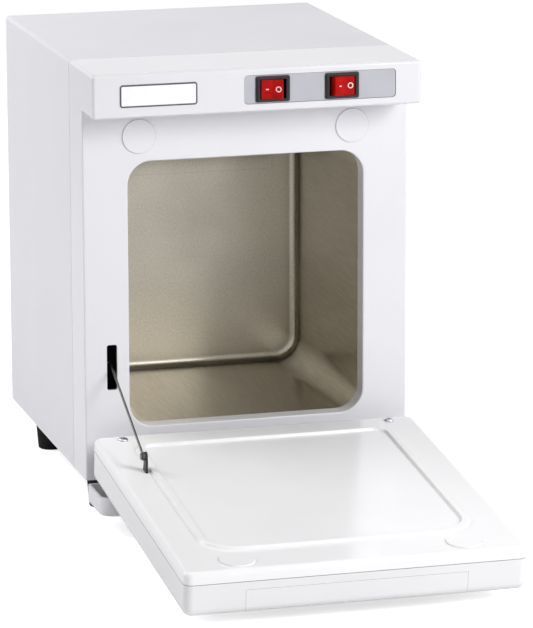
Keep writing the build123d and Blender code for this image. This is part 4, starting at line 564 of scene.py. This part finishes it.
@dataclass(frozen=True)
class PanScrew:
    """A domed screw head with a cross recess, and its shank. Sizes are in millimetres.

    The recess reaches a share of the head's radius. Its two bars narrow downwards to the shares of
    their length and width that the taper gives. A nut is its radius, its height and its depth under
    the head.
    """

    head_radius: float
    head_height: float
    shank_radius: float
    shank_length: float
    edge_height: float = 0.6
    recess_width: float = 0.9
    recess_depth: float = 1.2
    recess_reach: float = 0.62
    recess_taper: tuple[float, float] = (0.55, 0.7)
    nut: tuple[float, float, float] | None = None
    dome_steps: int = 6
    segments: int = 28

    def profile(self) -> list[tuple[float, float]]:
        """Lists the half section's points from the shank's tip to the top of the dome."""
        points = [
            (0.0, -self.shank_length),
            (self.shank_radius, -self.shank_length),
            (self.shank_radius, 0.0),
            (self.head_radius, 0.0),
            (self.head_radius, self.edge_height),
        ]
        rise = self.head_height - self.edge_height
        for step in range(1, self.dome_steps):
            turn = step * math.pi / 2 / self.dome_steps
            height = self.edge_height + rise * math.sin(turn)
            points.append((self.head_radius * math.cos(turn), height))
        return points + [(0.0, self.head_height)]

    def solid(self) -> bmesh.types.BMesh:
        """Spins the half section about +Z."""
        shape = bmesh.new()
        verts = [shape.verts.new((r * MM, 0, z * MM)) for r, z in self.profile()]
        edges = [shape.edges.new(pair) for pair in zip(verts, verts[1:])]
        bmesh.ops.spin(
            shape, geom=verts + edges, cent=(0, 0, 0), axis=(0, 0, 1), angle=math.tau,
            steps=self.segments, use_merge=True,
        )
        bmesh.ops.remove_doubles(shape, verts=shape.verts, dist=WELD_MM * MM)
        bmesh.ops.recalc_face_normals(shape, faces=shape.faces)
        return shape

    def add_nut(self, shape: bmesh.types.BMesh) -> None:
        """Adds the hexagon nut, where the screw has one."""
        if self.nut is None:
            return
        radius, height, depth = (size * MM for size in self.nut)
        rim = bmesh.ops.create_cone(
            shape, cap_ends=True, segments=6, radius1=radius, radius2=radius, depth=height
        )["verts"]
        bmesh.ops.translate(shape, vec=(0, 0, -depth - height / 2), verts=rim)

    def cutter(self) -> bmesh.types.BMesh:
        """Makes the cross-shaped recess as two tapered bars on one axis."""
        shape = bmesh.new()
        reach = 2 * self.recess_reach * self.head_radius
        for turn in (0, math.pi / 2):
            bar = bmesh.ops.create_cube(shape, size=1)["verts"]
            size = (reach * MM, self.recess_width * MM, 2 * self.recess_depth * MM)
            bmesh.ops.scale(shape, vec=size, verts=bar)
            low = [v for v in bar if v.co.z < 0]
            bmesh.ops.scale(shape, vec=(*self.recess_taper, 1), verts=low)
            bmesh.ops.rotate(shape, matrix=Matrix.Rotation(turn, 3, "Z"), verts=bar)
            bmesh.ops.translate(shape, vec=(0, 0, self.head_height * MM), verts=bar)
        return shape

    def mesh(self) -> bpy.types.Mesh:
        """Cuts the recess into the head and returns the finished mesh."""
        objects = []
        for label, shape in (("head", self.solid()), ("recess", self.cutter())):
            mesh = bpy.data.meshes.new(label)
            shape.to_mesh(mesh)
            shape.free()
            made = bpy.data.objects.new(label, mesh)
            bpy.context.scene.collection.objects.link(made)
            objects.append(made)
        head, recess = objects
        cut = head.modifiers.new("recess", "BOOLEAN")
        cut.operation = "DIFFERENCE"
        cut.solver = "EXACT"
        cut.use_self = True
        cut.object = recess
        depsgraph = bpy.context.evaluated_depsgraph_get()
        result = bpy.data.meshes.new_from_object(head.evaluated_get(depsgraph))
        for made in objects:
            bpy.data.objects.remove(made)
        shape = bmesh.new()
        shape.from_mesh(result)
        self.add_nut(shape)
        shape.to_mesh(result)
        shape.free()
        return result


@dataclass(frozen=True)
class ScrewRow:
    """Screws of one size that stand for one CAD node of plain screws.

    Seats are in millimetres, under the heads, and the axis points out of them. Turns are in
    degrees: each screw stops a little further round than the last, as screws do.
    """

    node: str
    body: str
    screw: PanScrew
    axis: tuple[float, float, float]
    seats: tuple[tuple[float, float, float], ...]
    first_turn: float = 12
    turn_step: float = 37
    sharp_angle: float = 32

    def build(self, workshop: Workshop) -> None:
        """Sets one screw on each seat.

        Args:
            workshop: What makes and dresses the piece.
        """
        pattern = self.screw.mesh()
        shape = bmesh.new()
        upright = Vector(self.axis).to_track_quat("Z", "Y").to_matrix().to_4x4()
        for index, seat in enumerate(self.seats):
            copy = pattern.copy()
            stop = math.radians(self.turn_step * index + self.first_turn)
            turn = Matrix.Rotation(stop, 4, "Z")
            copy.transform(Matrix.Translation(Vector(seat) * MM) @ upright @ turn)
            shape.from_mesh(copy)
            bpy.data.meshes.remove(copy)
        made = workshop.piece(self.node + "_cross_recessed", shape, self.body, ZINC_PLATE)
        made.data.set_sharp_from_angle(angle=math.radians(self.sharp_angle))
        made.data.shade_smooth()
        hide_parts(self.node)


REAR_SCREW = PanScrew(head_radius=3.5, head_height=2.2, shank_radius=1.5, shank_length=4.0)
FOOT_SCREW = PanScrew(
    head_radius=4.6, head_height=3.0, shank_radius=2.5, shank_length=15.2, nut=(4.6, 4.0, 10.2)
)
HINGE_SCREW = PanScrew(
    head_radius=3.8, head_height=2.4, shank_radius=2.0, shank_length=7.2, nut=(4.0, 3.2, 3.2)
)
BLOCK_SCREW = PanScrew(head_radius=4.0, head_height=2.1, shank_radius=1.5, shank_length=16.0)
STAY_SCREW = PanScrew(
    head_radius=2.4, head_height=1.4, shank_radius=1.2, shank_length=3.0, edge_height=0.4,
    recess_width=0.7, recess_depth=0.8,
)


# Marks and prints


@dataclass(frozen=True)
class RockerMarks:
    """The painted dash and ring on one rocker's two slopes, in millimetres and degrees.

    The rocker's face falls from a crest at each end to the valley over its axis. Paint is sunk into
    the face and stands a little proud of it.
    """

    piece: str
    body: str
    axis_x: float
    turn: float
    axis_y: float = -25.1
    middle_z: float = 360.3
    valley: float = 5.9
    crest: float = 7.4
    crest_reach: float = 9.0
    dash_reach: float = 3.9
    ring_reach: float = 5.2
    dash_length: float = 2.5
    dash_width: float = 0.9
    dash_corner: float = 0.3
    corner_steps: int = 3
    ring_radius: float = 2.4
    ring_width: float = 0.8
    sink: float = 0.25
    proud: float = 0.05
    segments: int = 32

    def slope(self, reach: float) -> Matrix:
        """Gives a place on the rocker's face: its z stands out of the slope there.

        Args:
            reach: Distance from the rocker's axis, negative on the left slope.

        Returns:
            The matrix from the mark's own frame to the shared frame.
        """
        fall = (self.crest - self.valley) / self.crest_reach
        depth = self.valley + fall * abs(reach)
        place = Matrix.Translation(Vector((self.axis_x, self.axis_y, self.middle_z)) * MM)
        place @= Matrix.Rotation(math.radians(self.turn), 4, "Z")
        place @= Matrix.Translation(Vector((reach, -depth, 0)) * MM)
        place @= Matrix.Rotation(-math.copysign(math.atan(fall), reach), 4, "Z")
        return place @ Matrix.Rotation(math.pi / 2, 4, "X")

    def build(self, workshop: Workshop) -> None:
        """Makes the dash on the left slope and the ring on the right one.

        Args:
            workshop: What makes and dresses the piece.
        """
        shape = bmesh.new()
        height = self.sink + self.proud
        dash = bmesh.ops.create_cube(shape, size=1)["verts"]
        bmesh.ops.scale(
            shape, vec=Vector((self.dash_length, self.dash_width, height)) * MM, verts=dash
        )
        upright = [
            e for e in shape.edges if abs(e.verts[0].co.z - e.verts[1].co.z) > height * MM / 2
        ]
        bmesh.ops.bevel(
            shape, geom=upright, offset=self.dash_corner * MM, segments=self.corner_steps,
            profile=0.5, affect="EDGES", material=-1,
        )
        lift = (self.proud - self.sink) / 2 * MM
        bmesh.ops.translate(shape, vec=(0, 0, lift), verts=shape.verts)
        bmesh.ops.transform(shape, matrix=self.slope(-self.dash_reach), verts=shape.verts)
        before = set(shape.verts)
        inner = (self.ring_radius - self.ring_width) * MM
        corners = [(inner, -self.sink), (self.ring_radius * MM, -self.sink)]
        corners += [(self.ring_radius * MM, self.proud), (inner, self.proud)]
        section = [shape.verts.new((r, 0, z * MM)) for r, z in corners]
        face = shape.faces.new(section)
        bmesh.ops.spin(
            shape, geom=[face], cent=(0, 0, 0), axis=(0, 0, 1), angle=math.tau,
            steps=self.segments, use_merge=True,
        )
        ring = [v for v in shape.verts if v not in before]
        bmesh.ops.transform(shape, matrix=self.slope(self.ring_reach), verts=ring)
        bmesh.ops.remove_doubles(shape, verts=shape.verts, dist=WELD_MM * MM)
        caps = [f for f in shape.faces if all(len(e.link_faces) > 2 for e in f.edges)]
        bmesh.ops.delete(shape, geom=caps, context="FACES_ONLY")
        bmesh.ops.recalc_face_normals(shape, faces=shape.faces)
        workshop.piece(self.piece, shape, self.body, MARK_PAINT)


@dataclass(frozen=True)
class LabelBorder:
    """The dark line that is printed round the edge of the blank label plate, in millimetres."""

    size: tuple[float, float] = (63.6, 18.0)
    corner: float = 2.2
    line: float = 1.1
    ink: float = 0.06
    segments: int = 32
    body: str = "cabinet"

    def rim(self, shape: bmesh.types.BMesh, radius: float) -> None:
        """Draws a circle and pulls its quarters apart into a rounded rectangle.

        Args:
            shape: The mesh that takes the loop.
            radius: The radius of its corners.
        """
        loop = bmesh.ops.create_circle(shape, segments=self.segments, radius=radius * MM)["verts"]
        half_step = Matrix.Rotation(math.pi / self.segments, 3, "Z")
        bmesh.ops.rotate(shape, matrix=half_step, verts=loop)
        for vert in loop:
            vert.co.x += math.copysign(self.size[0] / 2 - self.corner, vert.co.x) * MM
            vert.co.y += math.copysign(self.size[1] / 2 - self.corner, vert.co.y) * MM

    def build(self, workshop: Workshop) -> None:
        """Frames the plate with a ring of ink just proud of its face.

        Args:
            workshop: What makes and dresses the piece.
        """
        low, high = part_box("label_plate")
        shape = bmesh.new()
        for radius in (self.corner, self.corner - self.line):
            self.rim(shape, radius)
        bmesh.ops.bridge_loops(shape, edges=shape.edges)
        raised = bmesh.ops.extrude_face_region(shape, geom=list(shape.faces))["geom"]
        top = [v for v in raised if isinstance(v, bmesh.types.BMVert)]
        bmesh.ops.translate(shape, vec=(0, 0, 2 * self.ink * MM), verts=top)
        middle = (low + high) / 2
        place = Matrix.Translation((middle.x, low.y + self.ink * MM, middle.z))
        bmesh.ops.transform(
            shape, matrix=place @ Matrix.Rotation(math.pi / 2, 4, "X"), verts=shape.verts
        )
        bmesh.ops.recalc_face_normals(shape, faces=shape.faces)
        workshop.piece("label_border", shape, self.body, BORDER_INK)


# Sub-assemblies


@dataclass(frozen=True)
class Fasteners:
    """Every row of cross-recessed screws, on the case and on the door, in millimetres and degrees.

    A reach is a distance across from the middle of the case. On the door, a rise is measured from
    the hinge's axis towards the inner face, and an along from it towards the free edge.
    """

    rear_reach: float = 131.5
    rear_face: float = 299.0
    rear_heights: tuple[float, ...] = (63, 157, 251, 345)
    rear_top_reach: float = 62.0
    rear_top_height: float = 372.0
    foot_reach: float = 113.0
    foot_rows: tuple[float, float] = (56.0, 253.0)
    foot_seat: float = 26.0
    arm_reach: float = 106.0
    arm_row: float = 31.0
    arm_seat: float = 33.0
    hinge: tuple[float, float] = (-18.4, 50.3)
    droop: float = 5.9
    block_reach: float = 113.5
    block_rise: float = 25.4
    stay_place: float = -117.4
    stay_alongs: tuple[float, float] = (68.5, 77.5)
    stay_rise: float = 21.7

    def on_door(self, x: float, along: float, rise: float) -> tuple[float, float, float]:
        """Turns a place on the open door into the shared frame.

        Args:
            x: Place across the door.
            along: Distance from the hinge axis towards the free edge.
            rise: Distance from the hinge axis towards the inner face.

        Returns:
            The point in the shared frame.
        """
        c, s = math.cos(math.radians(self.droop)), math.sin(math.radians(self.droop))
        return x, self.hinge[0] - along * c - rise * s, self.hinge[1] - along * s + rise * c

    def rows(self) -> list[ScrewRow]:
        """Lists the rows with their sizes and seats."""
        sides = (-1, 1)
        tilt = math.radians(self.droop)
        inwards = (0.0, -math.sin(tilt), math.cos(tilt))
        outwards = tuple(-part for part in inwards)
        backwards = (0.0, 1.0, 0.0)
        down = (0.0, 0.0, -1.0)
        rear = [(s * self.rear_reach, self.rear_face, z) for s in sides for z in self.rear_heights]
        rear += [(s * self.rear_top_reach, self.rear_face, self.rear_top_height) for s in sides]
        feet = [(s * self.foot_reach, y, self.foot_seat) for s in sides for y in self.foot_rows]
        arms = [(s * self.arm_reach, self.arm_row, self.arm_seat) for s in sides]
        blocks = [self.on_door(s * self.block_reach, 0, self.block_rise) for s in sides]
        stays = [self.on_door(self.stay_place, along, self.stay_rise) for along in self.stay_alongs]
        return [
            ScrewRow("rear_screws", "cabinet", REAR_SCREW, backwards, tuple(rear)),
            ScrewRow("foot_screws", "cabinet", FOOT_SCREW, down, tuple(feet)),
            ScrewRow("hinge_screws", "cabinet", HINGE_SCREW, down, tuple(arms)),
            ScrewRow("hinge_block_screws", "door", BLOCK_SCREW, inwards, tuple(blocks)),
            ScrewRow("stay_bracket_screws", "door", STAY_SCREW, outwards, tuple(stays)),
        ]

    def build(self, workshop: Workshop) -> None:
        """Builds every row."""
        for row in self.rows():
            row.build(workshop)


@dataclass(frozen=True)
class Header:
    """What is printed or painted on the header: the rockers' marks and the label's border."""

    marks: tuple[RockerMarks, ...] = (
        RockerMarks("uv_rocker_marks", "uv_button", axis_x=11.9, turn=-12.0),
        RockerMarks("power_rocker_marks", "power_button", axis_x=70.0, turn=12.0),
    )
    border: LabelBorder = LabelBorder()

    def build(self, workshop: Workshop) -> None:
        """Builds the marks and the border."""
        for marks in self.marks:
            marks.build(workshop)
        self.border.build(workshop)


# Studio


@dataclass(frozen=True)
class SoftBox:
    """A rectangular white lamp, in metres and watts, that is aimed at a point."""

    name: str
    place: tuple[float, float, float]
    size: tuple[float, float]
    power: float
    target: tuple[float, float, float] = (0.0, 0.05, 0.18)

    def build(self) -> None:
        """Hangs the lamp."""
        lamp = bpy.data.lights.new(self.name, "AREA")
        lamp.shape = "RECTANGLE"
        lamp.size, lamp.size_y = self.size
        lamp.energy = self.power
        holder = bpy.data.objects.new(self.name, lamp)
        bpy.context.scene.collection.objects.link(holder)
        holder.location = self.place
        aim = Vector(self.target) - Vector(self.place)
        holder.rotation_mode = "QUATERNION"
        holder.rotation_quaternion = aim.to_track_quat("-Z", "Y")


@dataclass(frozen=True)
class Studio:
    """The camera, a white floor and sky, and three soft boxes, in metres and degrees."""

    camera_place: tuple[float, float, float] = (-0.8543, -3.1191, 0.9118)
    yaw: float = 15.556
    pitch: float = 12.939
    roll: float = -0.156
    focal_px: float = 4041.5
    frame_height_px: float = 628.0
    sensor_mm: float = 36.0
    view_reach: float = 60.0
    floor_reach: float = 9.0
    floor_shade: str = "#F5F5F5"
    floor_glow: float = 0.62
    sky_shade: str = "#F7F7F9"
    sky_strength: float = 0.4
    lamps: tuple[SoftBox, ...] = (
        SoftBox("key_soft_box", (1.05, -1.45, 1.05), (0.8, 0.8), 25.5),
        SoftBox("top_soft_box", (-0.3, 0.1, 2.8), (1.8, 1.8), 6.5),
        SoftBox("left_soft_box", (-1.15, 0.6, 1.05), (0.8, 0.8), 11.6),
    )

    def aim_camera(self) -> None:
        """Places the camera as the fit of the photograph's corners gives it."""
        data = bpy.data.cameras.new("camera")
        data.sensor_width = self.sensor_mm
        data.lens = self.focal_px * self.sensor_mm / self.frame_height_px
        data.clip_end = self.view_reach
        camera = bpy.data.objects.new("camera", data)
        bpy.context.scene.collection.objects.link(camera)
        yaw, pitch = math.radians(self.yaw), math.radians(self.pitch)
        level_part = math.cos(pitch)
        ahead = Vector(
            (math.sin(yaw) * level_part, math.cos(yaw) * level_part, -math.sin(pitch))
        )
        camera.rotation_mode = "QUATERNION"
        level = ahead.to_track_quat("-Z", "Y").to_matrix().to_4x4()
        turned = level @ Matrix.Rotation(math.radians(self.roll), 4, "Z")
        camera.rotation_quaternion = turned.to_quaternion()
        camera.location = self.camera_place
        bpy.context.scene.camera = camera

    def lay_floor(self) -> None:
        """Lays a pale floor that reads as white to the camera and still takes a shadow."""
        shape = bmesh.new()
        bmesh.ops.create_grid(shape, x_segments=1, y_segments=1, size=self.floor_reach)
        mesh = bpy.data.meshes.new("floor")
        shape.to_mesh(mesh)
        shape.free()
        floor = bpy.data.objects.new("floor", mesh)
        bpy.context.scene.collection.objects.link(floor)
        material = bpy.data.materials.new("white_paper_floor")
        material.use_nodes = True
        tree = material.node_tree
        tree.nodes.clear()
        seen = add_node(tree, "ShaderNodeLightPath").outputs["Is Camera Ray"]
        glow = add_node(
            tree, "ShaderNodeMath", {0: seen, 1: self.floor_glow}, operation="MULTIPLY"
        ).outputs[0]
        paper = add_node(tree, "ShaderNodeBsdfDiffuse", {"Color": linear(self.floor_shade)})
        lift = add_node(tree, "ShaderNodeEmission", {"Color": (1, 1, 1, 1), "Strength": glow})
        both = add_node(tree, "ShaderNodeAddShader", {0: paper.outputs[0], 1: lift.outputs[0]})
        add_node(tree, "ShaderNodeOutputMaterial", {"Surface": both.outputs[0]})
        mesh.materials.append(material)

    def hang_sky(self) -> None:
        """Lights the scene evenly from a sky that the camera, gloss and glass see as white."""
        world = bpy.data.worlds.new("studio")
        bpy.context.scene.world = world
        world.use_nodes = True
        tree = world.node_tree
        tree.nodes.clear()
        path = add_node(tree, "ShaderNodeLightPath").outputs
        seen = path["Is Camera Ray"]
        for kind in ("Is Glossy Ray", "Is Transmission Ray"):
            seen = add_node(
                tree, "ShaderNodeMath", {0: seen, 1: path[kind]}, operation="MAXIMUM"
            ).outputs[0]
        shade = {"Color": linear(self.sky_shade), "Strength": self.sky_strength}
        dim = add_node(tree, "ShaderNodeBackground", shade)
        white = add_node(tree, "ShaderNodeBackground", {"Color": (1, 1, 1, 1), "Strength": 1.0})
        skies = {0: seen, 1: dim.outputs[0], 2: white.outputs[0]}
        mix = add_node(tree, "ShaderNodeMixShader", skies)
        add_node(tree, "ShaderNodeOutputWorld", {"Surface": mix.outputs[0]})

    def build(self) -> None:
        """Sets up the camera, the floor, the sky and the lamps."""
        self.aim_camera()
        self.lay_floor()
        self.hang_sky()
        for lamp in self.lamps:
            lamp.build()


def dress_nodes(workshop: Workshop, nodes: dict[str, bpy.types.Object]) -> None:
    """Gives each CAD node its real finish.

    Args:
        workshop: What makes the materials.
        nodes: The CAD nodes by name.
    """
    for name, node in nodes.items():
        finish = NODE_FINISHES[name]
        workshop.dress(node, finish)
        log.info("%s: %s", name, finish.name)


def corners(box: Iterable[Vector]) -> list[list[float]]:
    """Turns a box's two corners into plain lists."""
    return [list(corner) for corner in box]


def main() -> None:
    """Loads the frame, dresses it and sets up the studio."""
    logging.basicConfig(level=logging.INFO, format="%(name)s: %(message)s")
    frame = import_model()
    bpy.context.scene.view_settings.view_transform = "Standard"
    workshop = Workshop()
    dress_nodes(workshop, frame["nodes"])
    Fasteners().build(workshop)
    Header().build(workshop)
    Studio().build()
    bpy.context.view_layer.update()


if __name__ == "__main__":
    main()
